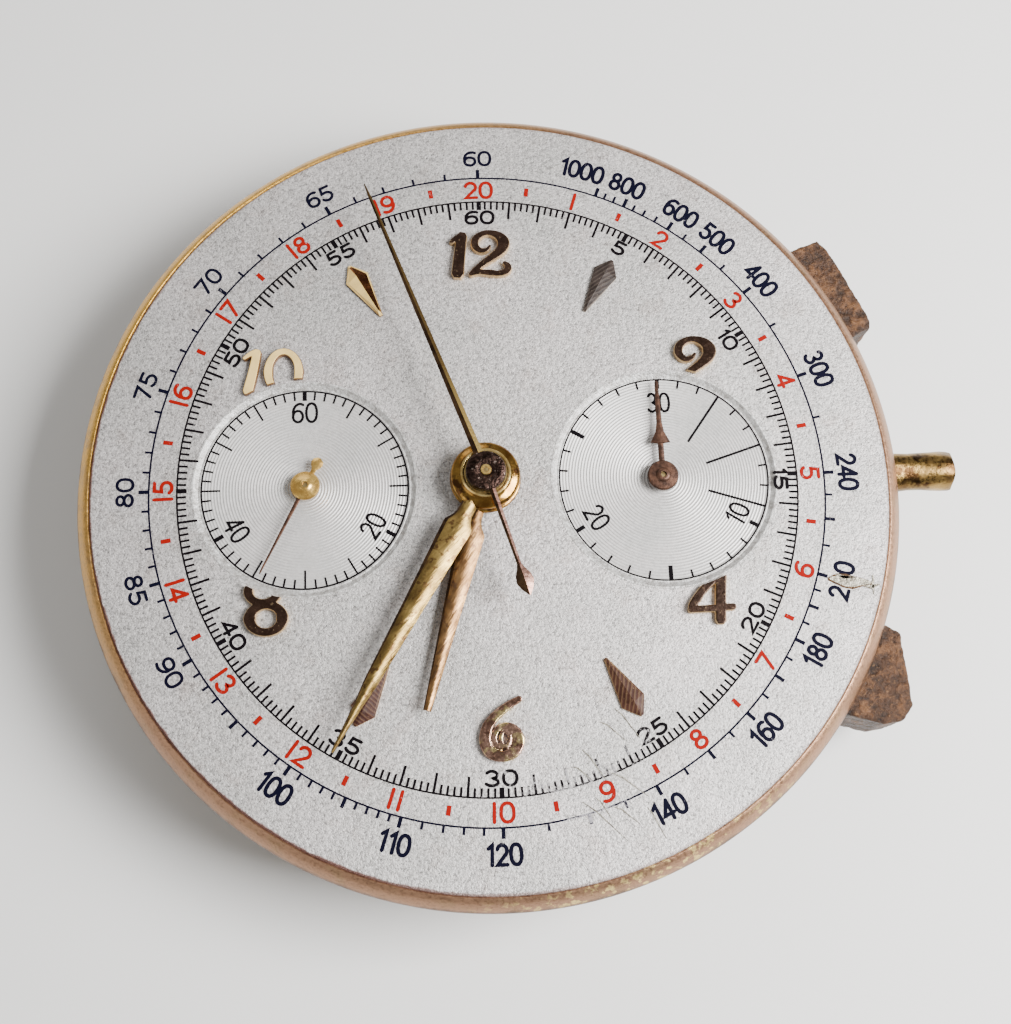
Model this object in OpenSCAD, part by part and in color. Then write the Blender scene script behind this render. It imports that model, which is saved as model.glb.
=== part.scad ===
// Hand-wound two-register chronograph wristwatch movement, lying dial up.
// Millimetres. Origin on the movement's axis at the dial seat. +Z out of the dial,
// +X towards 3 o'clock (the winding stem), +Y towards 12 o'clock.

/* [Dial] */
// Radius of the dial over its bevelled rim
dial_r = 17.4; // [16:0.1:18]
// Thickness of the dial
dial_t = 0.40; // [0.3:0.05:0.6]
// How far the dial sits off the movement's axis, towards 3 o'clock
dial_off = 0.20; // [0:0.05:0.3]
// Offset of the dial disc from its printing
disc_off = 0.13;
// Width of the bevelled rim
rim_w = 0.71; // [0.2:0.02:0.8]
// Radius of the running seconds subdial's recess
sub9_r = 4.60; // [4:0.05:4.8]
// Radius of the minute recorder subdial's recess
sub3_r = 4.70; // [4:0.05:4.8]
// Depth of the subdial recesses
sub_d = 0.14; // [0.05:0.01:0.2]
// Height of the applied numerals above the dial
numeral_t = 0.22; // [0.1:0.02:0.4]

/* [Movement] */
// Radius of the main plate, which is the case fit
plate_r = 15.5; // [15:0.1:16]
// Thickness of the main plate
plate_t = 1.5; // [1.2:0.1:1.8]
// Distance of both subdial axes from the centre
reg_x = 7.475; // [7.3:0.005:7.6]
// Height of the winding stem's axis
stem_z = -1.6; // [-1.7:0.05:-1.5]
// Sideways place of the winding stem
stem_y = 0.5; // [0:0.05:0.6]
// Outer radius of the brass sleeve on the stem
sleeve_r = 0.86; // [0.7:0.02:1]
// Distance from the centre to the end of the sleeve
sleeve_x = 20.5; // [19:0.1:21]
// Radius of the balance rim
balance_r = 4.3; // [4:0.1:4.4]

/* [Hands] */
// Length of the minute hand
minute_len = 12.8; // [12:0.05:13.5]
// Length of the hour hand
hour_len = 9.9; // [9:0.05:10.5]
// Length of the chronograph seconds hand
chrono_len = 13.9; // [13.5:0.05:15]
// Angle of the minute hand, clockwise from 12
minute_at = 210; // [0:1:360]
// Angle of the hour hand, clockwise from 12
hour_at = 195.6; // [0:0.5:360]
// Angle of the chronograph seconds hand, clockwise from 12
chrono_at = 340; // [0:0.5:360]
// Angle of the running seconds hand, clockwise from 12
seconds_at = 207; // [0:1:360]
// Angle of the minute recorder hand, clockwise from 12
recorder_at = 0; // [0:1:360]

/* [Gear teeth] */
// Module of the motion work
motion_m = 0.14; // [0.13:0.01:0.15]
// Module of the going train
train_m = 0.10; // [0.09:0.01:0.11]
// Module of the winding wheels
wind_m = 0.16; // [0.15:0.01:0.17]
// Module of the chronograph wheels
chrono_m = 0.08; // [0.07:0.01:0.09]

/* [Hidden] */
$fn = 64;
brass = [0.80, 0.66, 0.38];
gilt = [0.78, 0.62, 0.30];
steel = [0.62, 0.64, 0.67];
blued = [0.16, 0.20, 0.38];
ruby = [0.72, 0.08, 0.20];
silver = [0.84, 0.83, 0.81];
rust = [0.36, 0.22, 0.15];
dark = [0.22, 0.16, 0.13];

// axes of the wheels
O = [0, 0];
F = [-reg_x, 0];
R = [reg_x, 0];
B = [3.76, 4.481];
T = [-3.884, -2.273];
E = [-8.66, -3.256];
P = [-7.435, -5.378];
A = [-5.314, -7.906];
C = B + 7.52 * [cos(-30), sin(-30)];
S = [8.9, stem_y];
I = S + 3.08 * [cos(125), sin(125)];
M = [2.813, 1.837];
W = [-3.845, 2.890];
X = R + 3.68 * [cos(200), sin(200)];
K = [1.9, -11.6];
Hp = [4.2, -8.6];
Q2 = [7.5, 12.0];
Q4 = [9.5, -11.4];
G1 = [11.6, -4.6];
G2 = [-5.2, 8.4];
G3 = [-0.1, -6.5];
PF = P + [-2.9, -2.3];
CL = B + 6.35 * [cos(100), sin(100)];
SL = [13.7, 3.4];
YK = [11.4, 4.3];

bz = -3.0;
bt = -3.7;
function ang(a, b) = atan2(b[1] - a[1], b[0] - a[0]);
function cw(a) = 90 - a;
// phase of wheel b so that it meshes with wheel a, tooth on gap
function mesh(pa, na, th, nb) = th + 180 + ((th - pa) * na / 360 + 0.5) * 360 / nb;

ph_can = 0;
ph_min = mesh(ph_can, 12, ang(O, M), 36);
ph_hour = mesh(0, 10, ang(M, O), 40);
ph_int = mesh(ph_min, 36, ang(M, I), 28);
ph_set = mesh(ph_int, 28, ang(I, S), 16);
ph_cp = mesh(0, 80, ang(B, O), 10);
ph_tp = mesh(0, 80, ang(O, T), 10);
ph_fp = mesh(0, 75, ang(T, F), 10);
ph_ep = mesh(0, 70, ang(F, E), 7);
ph_rat = mesh(0, 32, ang(C, B), 62);
ph_cpl = mesh(0, 80, ang(F, W), 36);
ph_rec = mesh(0, 16, ang(X, R), 30);

module at(p, z = 0) { translate([p[0], p[1], z]) children(); }
module cyl(p, r, z0, z1) { at(p, z0) cylinder(r = r, h = z1 - z0); }
module tube(p, ro, ri, z0, z1) {
  at(p, z0) difference() {
    cylinder(r = ro, h = z1 - z0);
    translate([0, 0, -0.1]) cylinder(r = ri, h = z1 - z0 + 0.2);
  }
}
module xcyl(r, x0, x1) {
  translate([x0, stem_y, stem_z]) rotate([0, 90, 0]) cylinder(r = r, h = x1 - x0);
}
// straight bar with square ends between two points
module bar2(a, b, w) {
  l = norm(b - a);
  translate(a) rotate(ang(a, b)) translate([0, -w / 2]) square([l, w]);
}
module link2(a, b, w) {
  bar2(a, b, w);
  translate(a) circle(r = w / 2);
  translate(b) circle(r = w / 2);
}
// tapered bar
module taper2(a, b, wa, wb) {
  l = norm(b - a);
  translate(a) rotate(ang(a, b))
    polygon([[0, -wa / 2], [l, -wb / 2], [l, wb / 2], [0, wa / 2]]);
}
module sheet(z0, z1) { translate([0, 0, z0]) linear_extrude(height = z1 - z0) children(); }
module wedge2(a0, a1, r) {
  n = max(2, ceil((a1 - a0) / 15));
  polygon(concat([[0, 0]], [for (i = [0 : n]) let(a = a0 + (a1 - a0) * i / n)
    r * [cos(a), sin(a)]]));
}
// toothed outline, straight-flanked teeth thinned for backlash
module gear2(n, m, ph = 0) {
  q = 360 / n;
  rp = n * m / 2;
  rr = rp - 1.2 * m;
  ra = rp + 0.85 * m;
  polygon([for (i = [0 : n - 1]) for (k = [0 : 5])
    let(r = [rr, rp, ra, ra, rp, rr][k],
        a = ph + q * (i + [-0.34, -0.22, -0.09, 0.09, 0.22, 0.34][k]))
    r * [cos(a), sin(a)]]);
}
// wheel with spokes
module wheel(p, n, m, ph, z0, z1, arms, hub, bore, rimw) {
  ri = n * m / 2 - 1.2 * m - rimw;
  at(p) sheet(z0, z1) difference() {
    gear2(n, m, ph);
    circle(r = bore);
    if (arms > 0) difference() {
      circle(r = ri);
      circle(r = hub);
      for (i = [0 : arms - 1]) rotate(ph + 360 * i / arms)
        translate([0, -rimw * 0.4]) square([ri + 1, rimw * 0.8]);
    }
  }
}
module pinion(p, n, m, ph, z0, z1, bore = 0) {
  at(p) sheet(z0, z1) difference() {
    gear2(n, m, ph);
    if (bore > 0) circle(r = bore);
  }
}

// fixing screws: place, underside of the head, length of shank, radius of the head
screws = [
  [[10.6, 8.6], bt, 2.9, 0.95], [[-1.2, 13.4], bt, 2.9, 0.95], [[14.2, -1.9], bt, 2.9, 0.8],
  [[-10.6, 9.0], bt, 2.9, 0.95], [[-13.4, -1.2], bt, 2.9, 0.95], [[-12.67, -6.74], bt, 2.9, 0.75],
  [K, -4.7, 3.8, 1.05], [G1, -5.6, 4.6, 0.75], [G2, -5.6, 2.4, 0.75], [G3, -5.6, 4.6, 0.7]];
module screw_holes(z0, z1) { for (s = screws) cyl(s[0], 0.42, z0, z1); }
module screw_shape(p, z, l, r) {
  difference() {
    union() {
      cyl(p, r, z - 0.34, z);
      cyl(p, 0.38, z - 0.01, z + l);
    }
    at(p, z - 0.35) rotate(31 * p[0]) translate([-r - 0.1, -0.09, -0.1]) cube([2 * r + 0.2, 0.18, 0.25]);
  }
}

// ---- frame of the movement ----
module main_plate() color(gilt) difference() {
  union() {
    cyl(O, plate_r, -plate_t, 0);
    cyl(Q4, 1.1, bt, -1.4);
    cyl(Hp, 1.1, -4.6, -1.4);
    cyl(G1, 1.0, -5.05, -1.4);
    cyl(G3, 0.75, -5.05, -1.4);
    // posts that carry the setting wheels and the minute wheel
    cyl(M, 0.30, -1.0, -0.12);
    cyl(I, 0.40, -1.0, -0.40);
    cyl(S, 0.34, -1.6, -0.40);
  }
  difference() {
    union() {
      cyl(O, 3.2, -0.85, 1);
      cyl(M, 2.85, -0.85, 1);
      cyl(I, 2.3, -0.85, 1);
      cyl(S, 1.45, -0.85, 1);
    }
    cyl(M, 0.30, -2, 0.5);
    cyl(I, 0.40, -2, 0.5);
    cyl(S, 0.34, -2, 0.5);
  }
  cyl(M, 2.85, -0.12, 1);
  cyl(I, 0.5, -0.40, 1);
  cyl(S, 0.5, -0.40, 1);
  // barrel recess
  cyl(B, 5.45, -3, -1.05);
  // room for the winding pinion and the sliding clutch
  translate([11.95, stem_y - 1.68, -3]) cube([1.55, 3.36, 4]);
  translate([9.6, stem_y - 1.15, -3]) cube([2.4, 2.3, 4]);
  translate([13.45, stem_y - 0.3, -3]) cube([1.1, 0.6, 4]);
  // shelf for the setting lever and yoke
  sheet(-0.5, 1) {
    translate([10.4, stem_y - 0.2]) square([4.2, 5.5]);
    translate([9.6, stem_y + 1.9]) square([1.4, 3.3]);
  }
  xcyl(0.54, 13.2, 17);
  // pivot holes
  cyl(O, 0.40, -3, 1);
  for (p = [T, F, E, P, A]) cyl(p, 0.42, -3, -1.1);
  for (p = [T, E, P, A]) cyl(p, 0.10, -3, 1);
  cyl(PF, 0.42, -3, -1.1);
  cyl(F, 0.16, -3, 1);
  cyl(R, 0.20, -3, 1);
  cyl(B, 0.62, -3, 1);
  cyl(SL, 0.36, -3, 1);
  cyl(YK, 0.36, -3, 1);
  cyl(Q4, 0.42, -6, -1.2);
  cyl(Hp, 0.42, -6, -1.2);
  screw_holes(-5.5, -0.75);
  // dial feet and their side screws
  for (a = [100, 283]) {
    cyl(13.6 * [cos(a), sin(a)], 0.42, -3, 1);
    rotate(a) translate([14.1, 0, -0.75]) rotate([0, 90, 0]) cylinder(r = 0.34, h = 3);
  }
  // case screw holes
  for (a = [155, 260]) cyl(14.5 * [cos(a), sin(a)], 0.40, -3, 1);
}

module barrel_bridge() color(gilt) difference() {
  union() {
    sheet(bt, bz) difference() {
      intersection() {
        wedge2(-14, 112, 22);
        circle(r = 15.3, $fn = 96);
      }
      circle(r = 0.72);
    }
    // rim that stands on the main plate
    sheet(bz - 0.05, -plate_t) difference() {
      intersection() {
        wedge2(-14, 112, 22);
        circle(r = 15.3, $fn = 96);
      }
      circle(r = 13.75);
      translate(0.001 * B) translate(B) circle(r = 5.6);
    }
    cyl([10.6, 8.6], 1.1, bz - 0.05, -plate_t);
  }
  cyl(B, 5.22, bt - 1, -3.13);
  cyl(C, 2.86, bt - 1, -3.13);
  cyl(CL, 1.5, bt - 1, -3.13);
  cyl(CL + [1.5, 0.5], 1.4, bt - 1, -3.13);
  cyl(B, 0.94, -5, -2);
  cyl(C, 0.5, -5, -2);
  cyl(CL, 0.36, -5, -1.9);
  cyl(R, 0.24, -5, -2);
  cyl(Q2, 0.42, -5, -1.9);
  translate([11.95, stem_y - 1.2, -3.3]) cube([1.55, 2.4, 1]);
  translate([13.1, stem_y - 0.62, -2.3]) cube([0.9, 1.24, 1]);
  xcyl(0.54, 13.2, 17);
  screw_holes(-6, -1);
  cyl([12.9, 4.6], 0.42, -5, -2);
}

module train_bridge() color(gilt) difference() {
  union() {
    sheet(bt, bz) difference() {
      union() {
        intersection() {
          wedge2(118, 236, 22);
          difference() {
            circle(r = 15.3, $fn = 96);
            circle(r = 2.6);
          }
        }
        taper2([-4.4, 0.3], O, 2.6, 1.16);
        circle(r = 0.58);
      }
      translate(A) circle(r = 4.75);
      translate(B) circle(r = 5.27);
    }
    sheet(bz - 0.05, -plate_t) difference() {
      intersection() {
        wedge2(118, 236, 22);
        circle(r = 15.3, $fn = 96);
      }
      circle(r = 13.6);
      translate(A) circle(r = 4.75);
      translate(PF) circle(r = 1.15);
    }
    cyl([-10.6, 9.0], 1.1, bz - 0.05, -plate_t);
    // boss the coupling lever turns on
    tube(F, 0.95, 0.5, -3.98, bt + 0.05);
    cyl(G2, 0.9, -5.05, bt + 0.05);
  }
  cyl(O, 0.27, -5, -2);
  for (p = [T, F, E]) {
    cyl(p, 0.42, -3.42, -2);
    cyl(p, p == F ? 0.5 : 0.10, -5, -2);
  }
  screw_holes(-6, -1);
  cyl(G2, 0.42, -6, -2);
  cyl([-11.9, 3.6], 0.36, -5, -2);
  cyl(14.5 * [cos(155), sin(155)], 0.95, -5, 0);
}

module pallet_cock() color(gilt) difference() {
  union() {
    sheet(-2.85, -2.5) difference() {
      union() {
        link2(P, PF, 1.5);
        translate(PF) circle(r = 1.0);
      }
      translate(E) circle(r = 1.05);
    }
    cyl(PF, 0.98, -2.6, -plate_t);
  }
  cyl(P, 0.10, -4, -2);
  cyl(P, 0.42, -2.75, -2.4);
  cyl(PF, 0.42, -4, -1);
  cyl(PF, 0.56, -4, -2.6);
}

module balance_cock() color(gilt) difference() {
  union() {
    sheet(-4.7, -4.05) {
      taper2(K, A, 4.0, 2.3);
      translate(K) circle(r = 2.1);
      translate(A) circle(r = 1.35);
    }
    cyl(K, 2.05, -4.1, -plate_t);
  }
  cyl(A, 0.42, -4.5, -3.9);
  cyl(A, 0.10, -5, -3.9);
  cyl(A + 2.55 * [cos(150), sin(150)], 0.30, -5, -3.9);
  screw_holes(-6, -1);
}

module chronograph_bridge() color(gilt) difference() {
  sheet(-5.6, -5.05) difference() {
    union() {
      taper2(G2, O, 2.0, 2.6);
      taper2(G3, O, 1.9, 2.6);
      taper2(O, R, 2.9, 2.6);
      taper2(R, G1, 2.4, 2.2);
      for (p = [[G2, 1.2], [G3, 1.1], [G1, 1.2], [O, 1.8], [R, 1.55]])
        translate(p[0]) circle(r = p[1]);
    }
    translate([3.7, 0]) circle(r = 0.8);
  }
  for (p = [O, R]) {
    cyl(p, 0.42, -5.4, -5);
    cyl(p, 0.12, -6, -5);
  }
  screw_holes(-6, -4);
}

module plate_screws() color(blued) {
  for (s = screws) screw_shape(s[0], s[1], s[2], s[3]);
  dial_foot_screws();
  screw_shape(PF, -2.6, 1.35, 0.5);
}

module jewel(p, z0, z1, ri) { tube(p, 0.40, ri, z0, z1); }
module jewels() color(ruby) {
  balance_jewels();
  for (p = [T, E, P]) jewel(p, -1.5, -1.12, 0.10);
  jewel(F, -1.5, -1.12, 0.16);
  for (p = [T, E]) jewel(p, -3.40, -3.02, 0.10);
  jewel(F, -3.40, -3.02, 0.30);
  jewel(P, -2.73, -2.5, 0.10);
  for (p = [O, R]) jewel(p, -5.38, -5.06, 0.12);
}
module balance_jewels() {
  jewel(A, -1.5, -1.12, 0.10);
  jewel(A, -4.48, -4.06, 0.10);
}

// ---- dial ----
module dial() color(silver) difference() {
  union() {
    translate([dial_off, 0, 0]) difference() {
      translate([disc_off, 0, 0]) {
        cylinder(r = dial_r - rim_w, h = dial_t, $fn = 128);
        // turned-down rim, hollow underneath for the plate
        difference() {
          union() {
            translate([0, 0, -0.45])
              cylinder(r1 = dial_r, r2 = dial_r - rim_w + 0.04, h = 0.45 + dial_t - 0.05, $fn = 128);
            translate([0, 0, -0.62]) cylinder(r = dial_r, h = 0.18, $fn = 128);
          }
          translate([0, 0, -1]) cylinder(r = dial_r - 1.35, h = 1.02, $fn = 128);
        }
      }
      translate([-reg_x - 0.245, 0, dial_t - sub_d])
        cylinder(r1 = sub9_r - 0.12, r2 = sub9_r + 0.02, h = sub_d + 0.001);
      translate([reg_x - 0.105, 0, dial_t - sub_d])
        cylinder(r1 = sub3_r - 0.12, r2 = sub3_r + 0.02, h = sub_d + 0.001);
    }
    for (a = [100, 283]) cyl(13.6 * [cos(a), sin(a)], 0.36, -1.35, 0.05);
  }
  cyl(O, 1.05, -1, 2);
  cyl(F, 0.40, -1, 2);
  cyl(R, 0.40, -1, 2);
}

module dial_foot_screws() for (a = [100, 283])
  rotate(a) translate([14.1, 0, -0.75]) rotate([0, 90, 0]) difference() {
    cylinder(r = 0.30, h = 1.25);
    translate([-0.4, -0.06, 1.1]) cube([0.8, 0.12, 0.3]);
  }

// applied digits, drawn in a frame 1 high with the middle at the origin
module d1() polygon([[-0.18, 0.26], [0.02, 0.5], [0.2, 0.5], [0.1, -0.5], [-0.16, -0.5], [-0.04, 0.22]]);
module oval(rx, ry, n = 28) polygon([for (i = [0 : n - 1]) [rx * cos(360 * i / n), ry * sin(360 * i / n)]]);
module d2() polygon([[-0.36, 0.2], [-0.32, 0.36], [-0.18, 0.47], [0.02, 0.5], [0.22, 0.45], [0.34, 0.32],
  [0.36, 0.14], [0.26, -0.04], [0.04, -0.2], [-0.14, -0.3], [0.02, -0.3], [0.2, -0.34], [0.26, -0.24],
  [0.38, -0.2], [0.37, -0.38], [0.26, -0.49], [0.08, -0.5], [-0.4, -0.5], [-0.38, -0.36], [-0.2, -0.18],
  [0.06, 0.02], [0.14, 0.16], [0.12, 0.28], [0.02, 0.35], [-0.1, 0.33], [-0.16, 0.24], [-0.12, 0.14],
  [-0.2, 0.08], [-0.3, 0.1]]);
module d4() difference() {
  polygon([[0.08, 0.5], [0.3, 0.5], [0.22, -0.12], [0.4, -0.12], [0.38, -0.28], [0.18, -0.28],
    [0.14, -0.5], [-0.1, -0.5], [-0.06, -0.28], [-0.46, -0.28], [-0.48, -0.16]]);
  polygon([[0.02, 0.18], [-0.02, -0.12], [-0.24, -0.12]]);
}
module d6() {
  difference() {
    translate([0.02, -0.16]) oval(0.36, 0.34);
    translate([0.04, -0.15]) oval(0.14, 0.155, 20);
  }
  polygon([[-0.34, -0.12], [-0.26, 0.12], [-0.08, 0.3], [0.2, 0.5], [0.3, 0.46], [0.28, 0.38],
    [0.06, 0.2], [-0.08, 0.06], [-0.2, -0.1]]);
}
module d8() {
  difference() {
    translate([0, -0.19]) oval(0.34, 0.31);
    translate([0, -0.18]) oval(0.15, 0.15, 20);
  }
  difference() {
    translate([0.0, 0.24]) oval(0.28, 0.25);
    translate([0.0, 0.24]) oval(0.11, 0.11, 20);
  }
}
module d0() difference() {
  oval(0.39, 0.5, 32);
  oval(0.205, 0.33, 24);
}
module numeral(x, y, h) at([dial_off + x, y], dial_t) scale([h, h, 1])
  linear_extrude(height = numeral_t) children();
module applied_numerals() color(gilt) difference() {
  union() {
    hour_darts();
    numeral(-0.98, 10.37, 2.2) d1();
    numeral(0.32, 10.37, 2.2) d2();
    numeral(9.0, 5.05, 2.35) d2();
    numeral(8.98, -5.25, 2.3) d4();
    numeral(0.05, -10.35, 2.4) d6();
    numeral(-9.27, -5.08, 2.4) d8();
    numeral(-9.88, 5.12, 2.1) d1();
    numeral(-8.65, 5.10, 2.1) d0();
  }
  at([dial_off - reg_x - 0.245, 0], 0) cylinder(r = sub9_r + 0.16, h = 2, $fn = 96);
  at([dial_off + reg_x - 0.105, 0], 0) cylinder(r = sub3_r + 0.16, h = 2, $fn = 96);
}
module hour_darts() for (h = [1, 5, 7, 11])
  translate([dial_off, 0, dial_t]) rotate(-30 * h) translate([0, 10.3, 0])
    linear_extrude(height = numeral_t)
      polygon([[0.07, -1.6], [0.54, 0.55], [0.05, 1.22], [-0.05, 1.22], [-0.54, 0.55], [-0.07, -1.6]]);

// ---- barrel and winding ----
module barrel_drum() color(brass) difference() {
  union() {
    cyl(B, 5.05, -2.62, -1.15);
    pinion(B, 80, 0.13, 0, -2.65, -2.3);
  }
  cyl(B, 4.75, -3, -1.38);
  cyl(B, 0.66, -3, 0);
}
module barrel_cover() color(brass) tube(B, 4.72, 0.66, -2.62, -2.46);
module mainspring() color(steel) at(B) sheet(-2.34, -1.5) {
  for (r = [4.55, 4.3, 4.05, 3.8, 1.5, 1.25]) difference() {
    circle(r = r, $fn = 180);
    circle(r = r - 0.10, $fn = 180);
  }
  for (k = [0 : 3]) rotate([0, 120, 240, 300][k])
    translate([[4.25, 4.0, 3.75, 1.2][k], 0]) square([0.24, 0.10]);
  rotate(60) translate([1.45, 0]) square([2.3, 0.10]);
  difference() {
    circle(r = 1.20, $fn = 180);
    circle(r = 1.06, $fn = 180);
  }
}
module barrel_arbor() color(steel) {
  cyl(B, 1.05, -2.36, -1.46);
  cyl(B, 0.58, -3.05, -0.95);
  cyl(B, 0.58, -3.14, -3.0);
  cyl(B, 0.26, -3.5, -3.0);
  ratchet_screw();
}
module ratchet_wheel() color(steel) difference() {
  wheel(B, 62, wind_m, ph_rat, -3.45, -3.15, 0, 0, 0.30, 0.5);
  tube(B, 4.3, 3.2, -3.6, -3.40);
}
module ratchet_screw() difference() {
  cyl(B, 0.95, -3.72, -3.46);
  at(B, -3.8) rotate(20) translate([-1.1, -0.1, 0]) cube([2.2, 0.2, 0.18]);
}
module crown_wheel() color(steel) union() {
  wheel(C, 32, wind_m, 0, -3.45, -3.135, 0, 0, 0.62, 0.5);
}
module crown_core() {
  cyl(C, 0.46, -3.48, -2.7);
  difference() {
    cyl(C, 1.05, -3.66, -3.47);
    at(C, -3.8) for (k = [-1, 1]) translate([0.6 * k, 0, 0]) cylinder(r = 0.14, h = 0.3);
  }
}
module click() color(steel) difference() {
  sheet(-3.42, -3.16) {
    translate(CL) circle(r = 0.75);
    taper2(CL, B + 5.28 * [cos(108), sin(108)], 1.2, 0.22);
  }
  cyl(CL, 0.30, -5, -2);
}
module click_post() {
  cyl(CL, 0.26, -3.45, -2.4);
  cyl(CL, 0.6, -3.62, -3.45);
}
module click_spring() color(steel) sheet(-3.40, -3.16) {
  translate(CL + [2.05, 0.75]) circle(r = 0.5);
  taper2(CL + [2.05, 0.75], CL + [0.7, 1.1], 0.3, 0.12);
}
module winding_pinion() color(steel) difference() {
  union() {
    translate([12.08, stem_y, stem_z]) rotate([0, 90, 0]) linear_extrude(height = 0.85)
      gear2(20, 0.143, 9);
    xcyl(0.95, 12.9, 13.3);
  }
  xcyl(0.48, 11, 14);
}
module winding_stem() color(steel) difference() {
  union() {
    translate([9.85, stem_y, stem_z]) rotate([45, 0, 0]) translate([0, -0.27, -0.27]) cube([2.3, 0.54, 0.54]);
    xcyl(0.44, 12.1, 13.5);
    xcyl(0.30, 13.45, 14.0);
    xcyl(0.50, 13.95, 16.6);
    xcyl(0.45, 16.55, sleeve_x - 0.15);
  }
}
module stem_sleeve() color(brass) difference() {
  union() {
    xcyl(sleeve_r - 0.18, 16.75, 18.05);
    xcyl(sleeve_r, 18, sleeve_x - 0.2);
    translate([sleeve_x - 0.205, stem_y, stem_z]) rotate([0, 90, 0])
      cylinder(r1 = sleeve_r, r2 = sleeve_r - 0.15, h = 0.205);
  }
  xcyl(0.45, 16, 21);
}

module clutch_wheel() color(steel) difference() {
  union() {
    xcyl(1.05, 10.65, 11.15);
    xcyl(0.70, 11.1, 11.7);
    xcyl(1.05, 11.65, 12.0);
  }
  xcyl(0.43, 10, 13);
  for (i = [0 : 11]) translate([10.5, stem_y, stem_z]) rotate([30 * i, 0, 0])
    translate([0, 0.55, -0.09]) cube([0.32, 0.6, 0.18]);
}
module setting_lever() color(steel) {
  difference() {
    sheet(-0.42, -0.14) difference() {
      union() {
        taper2(SL, [13.7, stem_y + 0.05], 1.1, 0.5);
        translate(SL) circle(r = 0.75);
        translate([13.7, stem_y + 0.05]) circle(r = 0.25);
        taper2(SL, SL + [-1.25, 0.55], 0.9, 0.4);
      }
      translate(SL) circle(r = 0.30);
    }
  }
  cyl([13.7, stem_y], 0.11, -1.22, -0.3);
}
module yoke() color(steel) {
  sheet(-0.42, -0.14) difference() {
    union() {
      taper2(YK, [11.4, stem_y + 0.87], 1.0, 0.4);
      translate(YK) circle(r = 0.7);
      translate([11.4, stem_y + 0.87]) circle(r = 0.2);
    }
    translate(YK) circle(r = 0.30);
  }
  cyl([11.4, stem_y + 0.87], 0.10, -1.75, -0.3);
}
module keyless_screws() for (p = [SL, YK]) {
  cyl(p, 0.26, -1.4, -0.1);
  cyl(p, 0.5, -0.12, -0.02);
}
module setting_lever_spring() color(steel) sheet(-0.42, -0.2) {
  translate([12.65, 5.25]) circle(r = 0.38);
  taper2([12.65, 5.2], [12.35, 4.3], 0.3, 0.14);
  taper2([12.6, 5.3], [10.2, 5.0], 0.35, 0.14);
}
module setting_wheel() color(steel)
  wheel(S, 16, motion_m, ph_set, -0.75, -0.47, 0, 0, 0.38, 0.3);
module intermediate_setting_wheel() color(brass)
  wheel(I, 28, motion_m, ph_int, -0.75, -0.50, 0, 0, 0.45, 0.3);

// ---- motion work ----
module minute_wheel() color(brass) {
  wheel(M, 36, motion_m, ph_min, -0.75, -0.55, 4, 0.7, 0.35, 0.5);
  pinion(M, 10, 2 * 3.36 / 50, 0, -0.56, -0.14, 0.35);
}
module cannon_pinion() color(steel) {
  pinion(O, 12, motion_m, ph_can, -0.78, -0.46, 0.36);
  tube(O, 0.55, 0.36, -0.47, 1.84);
}
module hour_wheel() color(brass) {
  wheel(O, 40, 2 * 3.36 / 50, ph_hour, -0.40, -0.16, 0, 0, 0.60, 0.5);
  tube(O, 0.85, 0.60, -0.20, 1.14);
}

// ---- hands ----
module dial_hand(a, z) at(O, z) rotate(-a) children();
module hour_hand() color(gilt) difference() {
  union() {
    dial_hand(hour_at, 0.86) linear_extrude(height = 0.16)
      polygon([[-0.30, 0], [-0.34, 1.35], [-0.62, 2.05], [-0.15, hour_len], [0.15, hour_len],
        [0.62, 2.05], [0.34, 1.35], [0.30, 0]]);
    cyl(O, 1.48, 0.80, 1.10);
  }
  cyl(O, 0.86, 0, 2);
}
module minute_hand() color(gilt) difference() {
  union() {
    dial_hand(minute_at, 1.34) linear_extrude(height = 0.16)
      polygon([[-0.32, 0], [-0.36, 1.2], [-0.58, 1.72], [-0.26, minute_len - 2.0], [-0.07, minute_len - 0.05],
        [0.07, minute_len - 0.05], [0.26, minute_len - 2.0], [0.58, 1.72], [0.36, 1.2], [0.32, 0]]);
    cyl(O, 1.28, 1.26, 1.58);
    cyl(O, 1.0, 1.5, 1.82);
  }
  cyl(O, 0.56, 0, 3);
}
module chronograph_seconds_hand() color(gilt) difference() {
  union() {
    dial_hand(chrono_at, 2.06) linear_extrude(height = 0.13) {
      polygon([[-0.22, 0], [-0.07, chrono_len - 0.5], [0, chrono_len], [0.07, chrono_len - 0.5], [0.22, 0]]);
      // the counterpoise stem is bent a little out of line
      rotate(3.2) polygon([[-0.13, 0], [-0.08, -4.1], [-0.36, -4.85], [0, -5.45], [0.36, -4.85],
        [0.08, -4.1], [0.13, 0]]);
    }
    cyl(O, 0.84, 1.92, 2.24);
  }
  cyl(O, 0.115, 0, 3);
}
module sub_seconds_hand() color(gilt) difference() {
  union() {
    at(F, 0.62) rotate(-seconds_at) linear_extrude(height = 0.10) {
      polygon([[-0.12, 0], [-0.035, 4.1], [0.035, 4.1], [0.12, 0]]);
      polygon([[-0.10, 0], [-0.10, -0.9], [0.10, -0.9], [0.10, 0]]);
      translate([0, -1.08]) circle(r = 0.26, $fn = 32);
    }
    cyl(F, 0.60, 0.58, 0.80);
  }
  cyl(F, 0.125, 0, 2);
}
module recorder_hand() color(dark) difference() {
  union() {
    at(R, 0.62) rotate(-recorder_at) linear_extrude(height = 0.10) {
      polygon([[-0.12, 0], [-0.10, 1.5], [-0.42, 1.45], [-0.08, 2.35], [-0.05, 4.25],
        [0.05, 4.25], [0.08, 2.35], [0.42, 1.45], [0.10, 1.5], [0.12, 0]]);
    }
    cyl(R, 0.64, 0.58, 0.80);
  }
  cyl(R, 0.125, 0, 2);
}

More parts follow.
